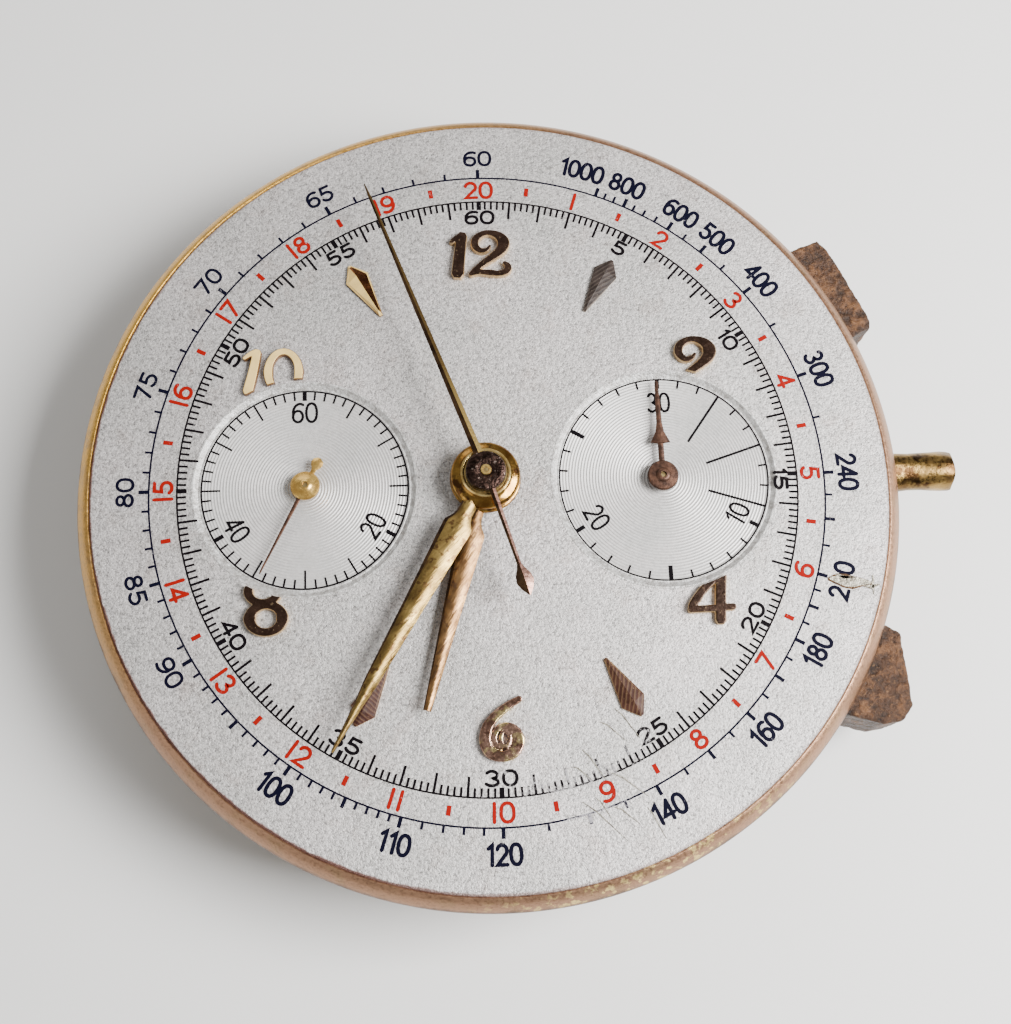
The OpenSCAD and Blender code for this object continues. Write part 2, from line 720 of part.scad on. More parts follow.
// ---- going train ----
module centre_wheel() color(brass) difference() {
  union() {
    wheel(O, 80, train_m, 0, -2.90, -2.74, 5, 1.1, 0.1, 0.45);
    pinion(O, 10, 0.13, ph_cp, -2.75, -2.25);
    cyl(O, 0.34, -2.3, 0.3);
    cyl(O, 0.24, -3.6, -2.8);
  }
  cyl(O, 0.15, -6, 3);
}
module third_wheel() color(brass) {
  wheel(T, 75, train_m, 0, -1.88, -1.70, 5, 0.8, 0.05, 0.45);
  pinion(T, 10, train_m, ph_tp, -2.98, -2.68);
  cyl(T, 0.20, -2.9, -1.56);
  cyl(T, 0.08, -3.4, -1.15);
}
module fourth_wheel() color(brass) {
  wheel(F, 70, 0.09, 0, -2.90, -2.74, 5, 0.7, 0.05, 0.4);
  pinion(F, 10, train_m, ph_fp, -2.0, -1.6);
  cyl(F, 0.22, -2.97, -1.56);
  cyl(F, 0.125, -2, 0.78);
  cyl(F, 0.26, -4.4, -2.9);
}
module driving_wheel() color(brass) difference() {
  wheel(F, 80, chrono_m, 0, -4.35, -4.20, 4, 0.7, 0.27, 0.4);
}
module escape_wheel() color(steel) {
  at(E) sheet(-2.25, -2.10) difference() {
    polygon([for (i = [0 : 14]) for (k = [0 : 3])
      [1.6, 2.1, 2.06, 1.6][k] * [cos(24 * i + [0, 5, 9, 4][k]), sin(24 * i + [0, 5, 9, 4][k])]]);
    difference() {
      circle(r = 1.3);
      circle(r = 0.45);
      for (i = [0 : 3]) rotate(90 * i) translate([0, -0.11]) square([2, 0.22]);
    }
  }
  pinion(E, 7, 0.09, ph_ep, -2.97, -2.60);
  cyl(E, 0.16, -2.9, -1.6);
  cyl(E, 0.08, -3.4, -1.15);
}
module pallet_fork() color(steel) {
  ue = ang(P, E);
  ua = ang(P, A);
  sheet(-2.25, -2.10) {
    translate(P) circle(r = 0.34);
    taper2(P, P + 1.42 * [cos(ue + 58), sin(ue + 58)], 0.5, 0.34);
    taper2(P, P + 1.42 * [cos(ue - 58), sin(ue - 58)], 0.5, 0.34);
    taper2(P, P + 2.55 * [cos(ua), sin(ua)], 0.5, 0.26);
    difference() {
      translate(P + 2.7 * [cos(ua), sin(ua)]) circle(r = 0.36);
      translate(A) circle(r = 0.42);
      bar2(P + 2.62 * [cos(ua), sin(ua)], A, 0.22);
    }
  }
  cyl(P, 0.14, -2.45, -1.6);
  cyl(P, 0.08, -2.7, -1.15);
}
module pallet_stones() color(ruby) {
  ue = ang(P, E);
  for (s = [-1, 1]) at(P + 1.56 * [cos(ue + 58 * s), sin(ue + 58 * s)], -2.32)
    rotate(ue + 12 * s) translate([-0.12, -0.14, 0]) cube([0.42, 0.28, 0.3]);
}
module balance_wheel() color(gilt) difference() {
  union() {
  at(A) sheet(-3.55, -3.10) difference() {
    circle(r = balance_r, $fn = 96);
    circle(r = balance_r - 0.42, $fn = 96);
  }
  at(A) sheet(-3.45, -3.20) {
    for (a = [20, 110]) rotate(a) translate([-balance_r + 0.2, -0.22]) square([2 * balance_r - 0.4, 0.44]);
    circle(r = 0.7);
  }
  }
  cyl(A, 0.17, -4, -3);
}
module balance_staff() color(steel) {
  tube(A, 0.32, 0.18, -3.2, -2.85);
  cyl(A, 0.16, -3.9, -1.6);
  cyl(A, 0.08, -4.5, -1.15);
  cyl(A, 0.62, -2.85, -2.66);
  cyl(A + 0.42 * [cos(ang(A, P)), sin(ang(A, P))], 0.08, -2.7, -2.32);
}
module hairspring() color(blued) at(A) sheet(-3.86, -3.70) {
  for (k = [1 : 6]) difference() {
    circle(r = 0.42 + 0.30 * k);
    circle(r = 0.34 + 0.30 * k);
  }
  for (k = [1 : 5]) rotate(60 * k) translate([0.36 + 0.30 * k, -0.05]) square([0.30, 0.10]);
  difference() {
    circle(r = 0.46);
    circle(r = 0.17);
  }
  rotate(200) translate([0.4, -0.05]) square([0.3, 0.10]);
  rotate(150) translate([2.16, -0.05]) square([0.3, 0.10]);
}
module hairspring_stud() color(steel) {
  cyl(A + 2.55 * [cos(150), sin(150)], 0.26, -4.75, -3.62);
}
module regulator() color(steel) sheet(-4.92, -4.72) difference() {
  union() {
    translate(A) circle(r = 1.15);
    taper2(A, A + 3.5 * [cos(62), sin(62)], 0.7, 0.22);
    taper2(A, A + 1.9 * [cos(205), sin(205)], 0.7, 0.4);
  }
  translate(A) circle(r = 0.5);
}

// ---- chronograph work ----
module heart2(r) polygon([for (i = [0 : 35]) let(a = 10 * i, f = abs(180 - a) / 180)
  r * (0.36 + 0.64 * f) * [cos(a), sin(a)]]);
module chronograph_runner() color(brass) {
  wheel(O, 80, chrono_m, 0, -4.35, -4.20, 5, 0.8, 0.05, 0.4);
  cyl(O, 0.26, -5.0, -3.8);
  cyl(O, 0.11, -5.35, 2.24);
}
module runner_heart() color(steel) at(O) rotate(cw(chrono_at)) {
  sheet(-4.92, -4.72) difference() {
    heart2(0.95);
    circle(r = 0.27);
  }
  sheet(-4.66, -4.46) difference() {
    union() {
      circle(r = 0.6);
      rotate(60) translate([0, -0.12]) square([2.68, 0.24]);
    }
    circle(r = 0.27);
  }
}
module minute_recorder_wheel() color(brass) {
  recorder_heart();
  wheel(R, 30, wind_m, ph_rec, -4.66, -4.48, 4, 0.7, 0.05, 0.4);
  cyl(R, 0.17, -4.98, -0.6);
  cyl(R, 0.11, -5.35, 0.78);
}
module recorder_heart() at(R) rotate(cw(recorder_at)) sheet(-4.92, -4.72) difference() {
  heart2(0.85);
  circle(r = 0.18);
}
module transmission_wheel() color(brass) difference() {
  union() {
    wheel(X, 16, wind_m, 0, -4.66, -4.48, 0, 0, 0.2, 0.3);
    tube(X, 0.5, 0.2, -4.5, -4.1);
  }
}
module transmission_lever() color(steel) {
  transmission_post();
  difference() {
    sheet(-4.04, -3.78) {
      translate(X) circle(r = 0.7);
      taper2(X, [7.7, -5.6], 0.8, 1.0);
      translate([7.7, -5.6]) circle(r = 0.8);
    }
    cyl([7.7, -5.6], 0.34, -5, -3);
  }
  cyl(X, 0.16, -4.72, -3.9);
}
module coupling_lever() color(steel) {
  sheet(-3.96, -3.76) difference() {
    union() {
      translate(F) circle(r = 1.6);
      taper2(F, W, 1.6, 1.0);
      translate(W) circle(r = 0.62);
      taper2(F, F + [-4.2, 3.0], 1.5, 0.7);
      translate(F + [-4.2, 3.0]) circle(r = 0.4);
    }
    translate(F) circle(r = 1.0);
  }
  cyl(W, 0.20, -4.42, -3.9);
}
module coupling_wheel() color(brass)
  wheel(W, 36, chrono_m, ph_cpl, -4.35, -4.20, 0, 0, 0.25, 0.3);
module coupling_spring() {
  sheet(-3.92, -3.74) {
    translate([-11.2, 6.6]) circle(r = 0.6);
    taper2([-11.2, 6.6], [-11.9, 3.6], 0.4, 0.14);
  }
}
module hammer() color(steel) difference() {
  sheet(-4.92, -4.72) {
    translate(Hp) circle(r = 1.1);
    taper2(Hp, [1.15, -3.3], 1.5, 0.8);
    taper2([1.15, -3.3], [0.75, -1.75], 0.8, 0.5);
    translate([0.35, -1.75]) square([1.1, 0.35]);
    taper2(Hp, [6.4, -3.6], 1.3, 0.8);
    taper2([6.4, -3.6], [6.75, -1.75], 0.8, 0.5);
    translate([6.3, -1.75]) square([1.1, 0.35]);
    taper2(Hp, [8.2, -9.6], 1.3, 0.6);
  }
  cyl(Hp, 0.34, -6, -4);
}
module operating_lever() color(rust) difference() {
  union() {
    sheet(-4.0, -3.76) {
      translate(Q2) circle(r = 1.0);
      taper2(Q2, [12.4, 10.5], 1.7, 1.5);
      taper2([12.2, 10.7], [15.6, 9.1], 1.6, 1.6);
      taper2(Q2, [2.2, 13.3], 1.4, 0.6);
    }
    sheet(-3.9, -0.78) polygon([[15.53, 11.36], [15.95, 10.9], [16.51, 9.76], [17.06, 8.52], [17.55, 7.35],
      [17.53, 7.05], [15.7, 6.14], [14.7, 8.1], [13.6, 10.62]]);
  }
  cyl(Q2, 0.34, -6, 0);
}
module reset_lever() color(rust) difference() {
  union() {
    sheet(-4.0, -3.76) {
      translate(Q4) circle(r = 1.0);
      taper2(Q4, [13.2, -10.2], 1.7, 1.6);
      taper2([13.0, -10.2], [15.6, -8.9], 1.6, 1.8);
      taper2(Q4, [8.5, -8.9], 1.4, 0.7);
    }
    sheet(-3.9, -0.78) polygon([[15.1, -6.4], [16.7, -6.4], [17.25, -6.74], [17.44, -9.82], [16.99, -10.42],
      [16.14, -10.55], [14.8, -10.15], [13.7, -9.85]]);
  }
  cyl(Q4, 0.34, -6, 0);
}
module lever_springs() color(steel) {
  coupling_spring();
  sheet(-3.94, -3.73) {
    translate([5.0, 10.4]) circle(r = 0.6);
    taper2([5.0, 10.4], [2.6, 12.3], 0.4, 0.14);
  }
}
module shoulder_screws() color(blued) {
  crown_core();
  click_post();
  keyless_screws();
  for (q = [Q2, Q4]) {
    cyl(q, 0.28, -4.06, -2.2);
    cyl(q, 0.75, -4.30, -4.05);
  }
  cyl(Hp, 0.28, -4.98, -2.2);
  cyl(Hp, 0.75, -5.22, -4.97);
}
module transmission_post() {
  cyl([7.7, -5.6], 0.9, -3.72, -plate_t);
  cyl([7.7, -5.6], 0.28, -4.1, -3.7);
  cyl([7.7, -5.6], 0.6, -4.28, -4.08);
}
module recorder_jumper() color(steel) {
  cyl([12.9, 4.6], 0.38, -4.4, -3.3);
  cyl([12.9, 4.6], 0.7, -4.66, bt);
  sheet(-4.64, -4.48) {
    taper2([12.9, 4.6], R + [2.75, 1.35], 0.5, 0.16);
  }
}

main_plate();
barrel_bridge();
train_bridge();
pallet_cock();
balance_cock();
chronograph_bridge();
plate_screws();
shoulder_screws();
jewels();
dial();
applied_numerals();
barrel_drum();
barrel_cover();
mainspring();
barrel_arbor();
ratchet_wheel();
crown_wheel();
click();
click_spring();
winding_pinion();
winding_stem();
stem_sleeve();
clutch_wheel();
setting_lever();
yoke();
setting_lever_spring();
setting_wheel();
intermediate_setting_wheel();
minute_wheel();
cannon_pinion();
hour_wheel();
hour_hand();
minute_hand();
chronograph_seconds_hand();
sub_seconds_hand();
recorder_hand();
centre_wheel();
third_wheel();
fourth_wheel();
driving_wheel();
escape_wheel();
pallet_fork();
pallet_stones();
balance_wheel();
balance_staff();
hairspring();
hairspring_stud();
regulator();
chronograph_runner();
runner_heart();
minute_recorder_wheel();
transmission_wheel();
transmission_lever();
coupling_lever();
coupling_wheel();
recorder_jumper();
hammer();
operating_lever();
reset_lever();
lever_springs();
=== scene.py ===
"""Looks of a bare chronograph wristwatch movement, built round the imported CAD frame."""
import math
import random

import bpy
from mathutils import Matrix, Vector


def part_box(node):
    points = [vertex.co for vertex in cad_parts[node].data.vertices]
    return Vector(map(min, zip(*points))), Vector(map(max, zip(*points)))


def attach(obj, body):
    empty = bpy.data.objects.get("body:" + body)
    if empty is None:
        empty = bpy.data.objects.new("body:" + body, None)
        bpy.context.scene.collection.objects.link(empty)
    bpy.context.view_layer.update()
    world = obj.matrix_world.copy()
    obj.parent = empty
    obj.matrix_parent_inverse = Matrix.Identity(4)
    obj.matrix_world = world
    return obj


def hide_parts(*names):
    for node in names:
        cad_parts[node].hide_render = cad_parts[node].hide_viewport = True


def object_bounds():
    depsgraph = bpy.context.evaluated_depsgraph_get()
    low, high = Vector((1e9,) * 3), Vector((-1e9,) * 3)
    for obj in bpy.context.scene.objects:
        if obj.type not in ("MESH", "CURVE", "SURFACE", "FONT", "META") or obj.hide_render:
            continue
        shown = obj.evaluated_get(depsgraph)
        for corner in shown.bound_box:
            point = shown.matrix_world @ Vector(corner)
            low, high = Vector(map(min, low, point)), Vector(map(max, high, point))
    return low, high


MM = 0.001
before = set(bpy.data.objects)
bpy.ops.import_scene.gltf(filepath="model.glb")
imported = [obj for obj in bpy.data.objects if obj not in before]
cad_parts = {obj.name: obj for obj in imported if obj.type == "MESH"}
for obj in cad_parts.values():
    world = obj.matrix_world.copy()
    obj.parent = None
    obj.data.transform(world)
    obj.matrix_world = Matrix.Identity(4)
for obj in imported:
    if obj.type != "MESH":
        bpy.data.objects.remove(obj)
cad_lo, cad_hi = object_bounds()
rng = random.Random(7)

# ---- places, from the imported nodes, in millimetres ----
d_lo, d_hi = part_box("dial")
DIAL_T = d_hi.z / MM
DX = (d_lo.x + d_hi.x) / 2 / MM
DIAL_R = (d_hi.x - d_lo.x) / 2 / MM
REC_Z = DIAL_T - 0.14  # floor of the registers
REG = 7.475  # register arbors, either side of the centre
PX = DX - 0.13  # centre of the print, a little off the blank's
FACE_R = DIAL_R - 0.71  # flat face inside the rim
SUB9 = (PX - REG - 0.245, 0.0)
SUB3 = (PX + REG - 0.105, 0.0)
TRACK_R = 13.0  # inner circle of the minute track
UNIT = TRACK_R / 12.0  # the dial's other radii in twelfths of it


# ---- mesh helpers: vertices in millimetres, objects at the origin ----
def add_object(name, verts, faces, body, mat, smooth=True, angle=35):
    me = bpy.data.meshes.new(name)
    me.from_pydata([(x * MM, y * MM, z * MM) for x, y, z in verts], [], faces)
    me.validate()
    me.update()
    ob = bpy.data.objects.new(name, me)
    bpy.context.scene.collection.objects.link(ob)
    me.materials.append(mat)
    if smooth:
        me.shade_smooth()
        me.set_sharp_from_angle(angle=math.radians(angle))
    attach(ob, body)
    return ob


class Solid:
    """Collects closed prisms into one mesh."""

    def __init__(self):
        self.v = []
        self.f = []

    def ribbon(self, pts, w, z0, z1, closed=False, rounded=True):
        pts = [Vector(p) for p in pts]
        n = len(pts)
        ws = [w] * n if not isinstance(w, (list, tuple)) else list(w)
        sec = []
        for i, p in enumerate(pts):
            a = pts[i - 1] if (closed or i > 0) else None
            b = pts[(i + 1) % n] if (closed or i < n - 1) else None
            d1 = (p - a).normalized() if a is not None and (p - a).length > 1e-9 else None
            d2 = (b - p).normalized() if b is not None and (b - p).length > 1e-9 else None
            if d1 is None and d2 is None:
                continue
            if d1 is None:
                d1 = d2
            if d2 is None:
                d2 = d1
            t = d1 + d2
            t = t.normalized() if t.length > 1e-6 else d1
            nrm = Vector((-t.y, t.x))
            k = max(0.45, nrm.dot(Vector((-d1.y, d1.x))))
            sec.append((p, t, nrm, ws[i] / 2 / k))
        if not closed and rounded and len(sec) > 1:
            p, t, nrm, h = sec[0]
            head = [(p - t * h * math.cos(q), t, nrm, h * math.sin(q)) for q in (0.25, 0.8)]
            p, t, nrm, h = sec[-1]
            tail = [(p + t * h * math.cos(q), t, nrm, h * math.sin(q)) for q in (0.8, 0.25)]
            sec = head + sec + tail
        base = len(self.v)
        for p, t, nrm, h in sec:
            a, b = p + nrm * h, p - nrm * h
            self.v += [(a.x, a.y, z1), (b.x, b.y, z1), (b.x, b.y, z0), (a.x, a.y, z0)]
        m = len(sec)
        for i in range(m if closed else m - 1):
            j = (i + 1) % m
            for k in range(4):
                a, b = base + 4 * i + k, base + 4 * i + (k + 1) % 4
                c, d = base + 4 * j + (k + 1) % 4, base + 4 * j + k
                self.f.append((a, b, c, d))
        if not closed:
            self.f.append((base + 3, base + 2, base + 1, base))
            e = base + 4 * (m - 1)
            self.f.append((e, e + 1, e + 2, e + 3))

    def circle(self, c, r, w, z0, z1, n=360):
        self.ribbon([(c[0] + r * math.cos(2 * math.pi * i / n), c[1] + r * math.sin(2 * math.pi * i / n))
                     for i in range(n)], w, z0, z1, closed=True)

    def tick(self, c, ang, r0, r1, w, z0, z1):
        s, k = math.sin(math.radians(ang)), math.cos(math.radians(ang))
        self.ribbon([(c[0] + r0 * s, c[1] + r0 * k), (c[0] + r1 * s, c[1] + r1 * k)], w, z0, z1 + 0.004,
                    rounded=False)


def lathe(name, profile, c, body, mat, n=128, angle=35):
    """Turned piece: profile of (radius, z), closed on itself, or to the axis where a radius is 0."""
    v, f = [], []
    m = len(profile)
    ids = []
    for r, z in profile:
        if r <= 1e-6:
            ids.append([len(v)] * n)
            v.append((c[0], c[1], z))
        else:
            ids.append(list(range(len(v), len(v) + n)))
            v += [(c[0] + r * math.cos(2 * math.pi * i / n), c[1] + r * math.sin(2 * math.pi * i / n), z)
                  for i in range(n)]
    closed = profile[0][0] > 1e-6 and profile[-1][0] > 1e-6
    for k in range(m if closed else m - 1):
        a, b = ids[k], ids[(k + 1) % m]
        for i in range(n):
            j = (i + 1) % n
            q = [a[i], a[j], b[j], b[i]]
            q = [x for p, x in enumerate(q) if x not in q[:p]]
            if len(q) > 2:
                f.append(tuple(q))
    return add_object(name, v, f, body, mat, angle=angle)


def blade(name, rows, ang, c, z0, edge, crown, body, mat, ridge=False, across=8, face=35, flank=None):
    """A hand's blade. rows of (distance along, half width left, half width right); flank (material, strips) paints
    shade on one side, giving those strips the darker material.
    """
    s, k = math.sin(math.radians(ang)), math.cos(math.radians(ang))
    v, f = [], []

    def put(x, y, z):
        v.append((c[0] + x * k + y * s, c[1] - x * s + y * k, z))

    for y, hl, hr in rows:
        for i in range(across + 1):
            u = -1 + 2 * i / across
            x = u * (hr if u > 0 else hl)
            lift = (1 - abs(u)) if ridge else (1 - u * u)
            put(x, y, z0 + edge + crown * lift * min(1, (hl + hr) / 0.5))
        put(hr, y, z0)
        put(-hl, y, z0)
    w = across + 3
    for r in range(len(rows) - 1):
        for i in range(w):
            j = (i + 1) % w
            f.append((r * w + i, r * w + j, (r + 1) * w + j, (r + 1) * w + i))
    f.append(tuple(reversed(range(w))))
    f.append(tuple(range((len(rows) - 1) * w, len(rows) * w)))
    ob = add_object(name, v, f, body, mat, angle=face)
    if flank:
        ob.data.materials.append(flank[0])
        strips = range(-1, flank[1]) if flank[1] > 0 else range(across + flank[1], across + 1)
        for p in ob.data.polygons[:(len(rows) - 1) * w]:
            if p.index % w in [q % w for q in strips]:
                p.material_index = 1
    return ob


# ---- materials ----
class Nodes:
    def __init__(self, name):
        self.m = bpy.data.materials.new(name)
        self.m.use_nodes = True
        self.t = self.m.node_tree
        self.b = self.t.nodes["Principled BSDF"]
        tc = self.t.nodes.new("ShaderNodeTexCoord")
        self.co = tc.outputs["Object"]

    def link(self, a, b):
        self.t.links.new(a, b)

    def noise(self, per_mm, detail=3.0, rough=0.55, co=None, dist=0.0):
        n = self.t.nodes.new("ShaderNodeTexNoise")
        n.inputs["Scale"].default_value = per_mm / MM
        n.inputs["Detail"].default_value = detail
        n.inputs["Roughness"].default_value = rough
        n.inputs["Distortion"].default_value = dist
        self.link(co or self.co, n.inputs["Vector"])
        return n.outputs["Fac"]

    def cells(self, per_mm, co=None, rand=1.0):
        n = self.t.nodes.new("ShaderNodeTexVoronoi")
        n.inputs["Scale"].default_value = per_mm / MM
        n.inputs["Randomness"].default_value = rand
        self.link(co or self.co, n.inputs["Vector"])
        return n.outputs["Distance"]

    def ramp(self, fac, stops):
        n = self.t.nodes.new("ShaderNodeValToRGB")
        el = n.color_ramp.elements
        while len(el) < len(stops):
            el.new(0.5)
        for e, (p, col) in zip(el, stops):
            e.position = p
            e.color = (*col, 1) if isinstance(col, (tuple, list)) else (col, col, col, 1)
        self.link(fac, n.inputs["Fac"])
        return n.outputs["Color"]

    def span(self, val, a, b, c, d, clamp=True):
        n = self.t.nodes.new("ShaderNodeMapRange")
        n.clamp = clamp
        for i, x in enumerate((a, b, c, d)):
            n.inputs[i + 1].default_value = x
        self.link(val, n.inputs[0])
        return n.outputs[0]

    def mix(self, fac, a, b, mode="MIX"):
        n = self.t.nodes.new("ShaderNodeMix")
        n.data_type = "RGBA"
        n.blend_type = mode
        for sock, x in ((n.inputs[0], fac), (n.inputs[6], a), (n.inputs[7], b)):
            if isinstance(x, (int, float)):
                sock.default_value = x
            elif isinstance(x, (tuple, list)):
                sock.default_value = (*x, 1)
            else:
                self.link(x, sock)
        return n.outputs[2]

    def math(self, op, a, b=None):
        n = self.t.nodes.new("ShaderNodeMath")
        n.operation = op
        for sock, x in ((n.inputs[0], a), (n.inputs[1], b)):
            if x is None:
                continue
            if isinstance(x, (int, float)):
                sock.default_value = x
            else:
                self.link(x, sock)
        return n.outputs[0]

    def facing_up(self, low=0.6, high=0.9):
        """1 on surfaces that face up, 0 on walls."""
        g = self.t.nodes.new("ShaderNodeNewGeometry")
        s = self.t.nodes.new("ShaderNodeSeparateXYZ")
        self.link(g.outputs["Normal"], s.inputs[0])
        return self.span(s.outputs[2], low, high, 0, 1)

    def along(self, ang, cx=0.0, cy=0.0):
        """Distance in millimetres towards a clock angle."""
        s = self.t.nodes.new("ShaderNodeSeparateXYZ")
        self.link(self.co, s.inputs[0])
        a = math.radians(ang)
        x = self.math("MULTIPLY", self.math("SUBTRACT", s.outputs[0], cx * MM), math.sin(a) / MM)
        y = self.math("MULTIPLY", self.math("SUBTRACT", s.outputs[1], cy * MM), math.cos(a) / MM)
        return self.math("ADD", x, y)

    def radius(self, cx, cy):
        """Distance from a vertical axis, in millimetres."""
        s = self.t.nodes.new("ShaderNodeSeparateXYZ")
        self.link(self.co, s.inputs[0])
        x = self.math("SUBTRACT", s.outputs[0], cx * MM)
        y = self.math("SUBTRACT", s.outputs[1], cy * MM)
        q = self.math("ADD", self.math("MULTIPLY", x, x), self.math("MULTIPLY", y, y))
        return self.math("MULTIPLY", self.math("SQRT", q), 1 / MM)

    def stretched(self, ang, along, across_):
        """Coordinates squeezed for brush lines that run at an angle clockwise from 12."""
        n = self.t.nodes.new("ShaderNodeMapping")
        n.vector_type = "TEXTURE"
        n.inputs["Rotation"].default_value = (0, 0, math.radians(-ang))
        n.inputs["Scale"].default_value = (across_, along, across_)
        self.link(self.co, n.inputs["Vector"])
        return n.outputs[0]

    def bump(self, height, strength, dist_mm, normal=None):
        n = self.t.nodes.new("ShaderNodeBump")
        n.inputs["Strength"].default_value = strength
        n.inputs["Distance"].default_value = dist_mm * MM
        self.link(height, n.inputs["Height"])
        if normal is not None:
            self.link(normal, n.inputs["Normal"])
        return n.outputs["Normal"]

    def out(self, color=None, rough=None, metal=None, normal=None, **fixed):
        for key, val in (("Base Color", color), ("Roughness", rough), ("Metallic", metal), ("Normal", normal)):
            if val is None:
                continue
            sock = self.b.inputs[key]
            if isinstance(val, (int, float)):
                sock.default_value = val
            elif isinstance(val, (tuple, list)):
                sock.default_value = (*val, 1)
            else:
                self.link(val, sock)
        for key, val in fixed.items():
            self.b.inputs[key.replace("_", " ")].default_value = val
        return self.m


def metal_mat(name, light, dark, rough=(0.25, 0.45), per_mm=1.2, grain=9.0, bump=0.25, depth=0.01,
              ang=None, metal=1.0, spots=None):
    n = Nodes(name)
    co = n.stretched(ang, 9.0, 1.0) if ang is not None else n.co
    big = n.noise(per_mm, 4.0)
    fine = n.noise(grain, 3.0, 0.6, co)
    col = n.mix(n.span(big, 0.36, 0.66, 0, 1), dark, light)
    if spots:
        amount, colour, size = spots
        sp = n.noise(size, 3.0, 0.6)
        col = n.mix(n.span(sp, 1 - amount - 0.06, 1 - amount + 0.04, 0, 1), col, colour)
    col = n.mix(0.35, col, n.ramp(fine, [(0.3, 0.55), (0.7, 1.0)]), "MULTIPLY")
    return n.out(col, n.span(fine, 0.3, 0.7, rough[0], rough[1]), metal, n.bump(fine, bump, depth))


def dial_mat():
    n = Nodes("silvered_dial")
    r = n.radius(DX, 0)
    grain = n.noise(5.5, 3.0, 0.75)
    fine = n.noise(12.0, 2.0, 0.8)
    cloud = n.noise(0.16, 4.0, 0.6)
    patina = n.noise(0.7, 5.0, 0.65)
    base = n.mix(n.span(cloud, 0.40, 0.62, 0, 1), (0.63, 0.605, 0.58), (0.73, 0.685, 0.665))
    base = n.mix(n.span(patina, 0.54, 0.72, 0, 0.55), base, (0.52, 0.44, 0.40))
    base = n.mix(0.9, base, n.ramp(grain, [(0.33, 0.52), (0.49, 0.88), (0.64, 1.0)]), "MULTIPLY")
    base = n.mix(0.9, base, n.ramp(fine, [(0.33, 0.34), (0.50, 0.88), (0.64, 1.0)]), "MULTIPLY")
    # painted light: the base is darkened to 0.8 towards the upper left and kept full towards the lower right, a
    # painted falloff of the lamp's light
    base = n.mix(1.0, base, n.ramp(n.span(n.along(130, DX, 0), -15, 9, 0, 1), [(0.0, 0.80), (1.0, 1.0)]), "MULTIPLY")
    speck = n.noise(9.0, 2.0, 0.8)
    base = n.mix(n.span(speck, 0.69, 0.75, 0, 0.4), base, (0.16, 0.11, 0.09))
    dust = n.cells(0.9)
    dot = n.noise(1.7, 2.0, 0.5)
    base = n.mix(n.math("MULTIPLY", n.span(dust, 0.0, 0.10, 1, 0), n.span(dot, 0.52, 0.60, 0, 0.85)),
                 base, (0.07, 0.05, 0.045))
    # dark red-brown line at the face's edge: patina in the groove plus painted shadow of the rim step; low makes it
    # heavier towards the lower left, the shadow side
    edge = n.noise(1.6, 4.0, 0.6)
    rr = n.math("ADD", r, n.span(edge, 0.3, 0.7, -0.04, 0.04))
    low = n.span(n.along(245, DX, 0), 0, 12, 0.25, 1.0)
    base = n.mix(n.math("MULTIPLY", n.span(rr, FACE_R - 0.075, FACE_R - 0.01, 0, 0.9), low), base,
                 (0.13, 0.045, 0.03))
    h = n.math("ADD", n.math("ADD", grain, n.math("MULTIPLY", fine, 0.5)), n.math("MULTIPLY", patina, 1.0))
    return n.out(base, n.span(grain, 0.3, 0.7, 0.36, 0.60), 0.4, n.bump(h, 1.0, 0.045))


def rim_mat():
    n = Nodes("gilt_rim")
    r = n.radius(DX, 0)
    grain = n.noise(8.0, 4.0, 0.65)
    big = n.noise(1.1, 4.0, 0.6)
    gold = n.span(n.along(305, DX, 0), 6, 16, 0, 1)
    # low weights the painted shadow at the inner edge below towards the lower left
    low = n.span(n.along(225, DX, 0), -4, 12, 0, 1)
    col = n.mix(gold, (0.41, 0.23, 0.135), (0.74, 0.42, 0.075))
    col = n.mix(n.span(big, 0.52, 0.68, 0, 0.55), col, (0.36, 0.23, 0.12))
    chips = n.math("MULTIPLY", n.span(n.along(160, DX, 0), 15.5, 17.0, 0, 1),
                   n.span(n.noise(2.8, 3.0), 0.54, 0.60, 0, 1))
    col = n.mix(chips, col, (0.84, 0.62, 0.24))
    wob = n.math("ADD", r, n.span(big, 0.3, 0.7, -0.05, 0.05))
    # dark line at the rim's inner edge next to the face: patina in the groove plus painted shadow of the step,
    # heavier towards the lower left
    col = n.mix(n.math("MULTIPLY", n.span(wob, FACE_R + 0.03, FACE_R + 0.11, 1, 0),
                       n.span(low, 0, 1, 0.35, 0.95)), col, (0.10, 0.032, 0.018))
    col = n.mix(n.span(wob, DIAL_R - 0.10, DIAL_R + 0.01, 0, 0.9), col, (0.09, 0.04, 0.02))
    col = n.mix(0.7, col, n.ramp(grain, [(0.32, 0.45), (0.52, 0.92), (0.68, 1.0)]), "MULTIPLY")
    return n.out(col, n.span(grain, 0.3, 0.7, 0.28, 0.48), 0.85, n.bump(n.math("ADD", grain, big), 0.6, 0.03))


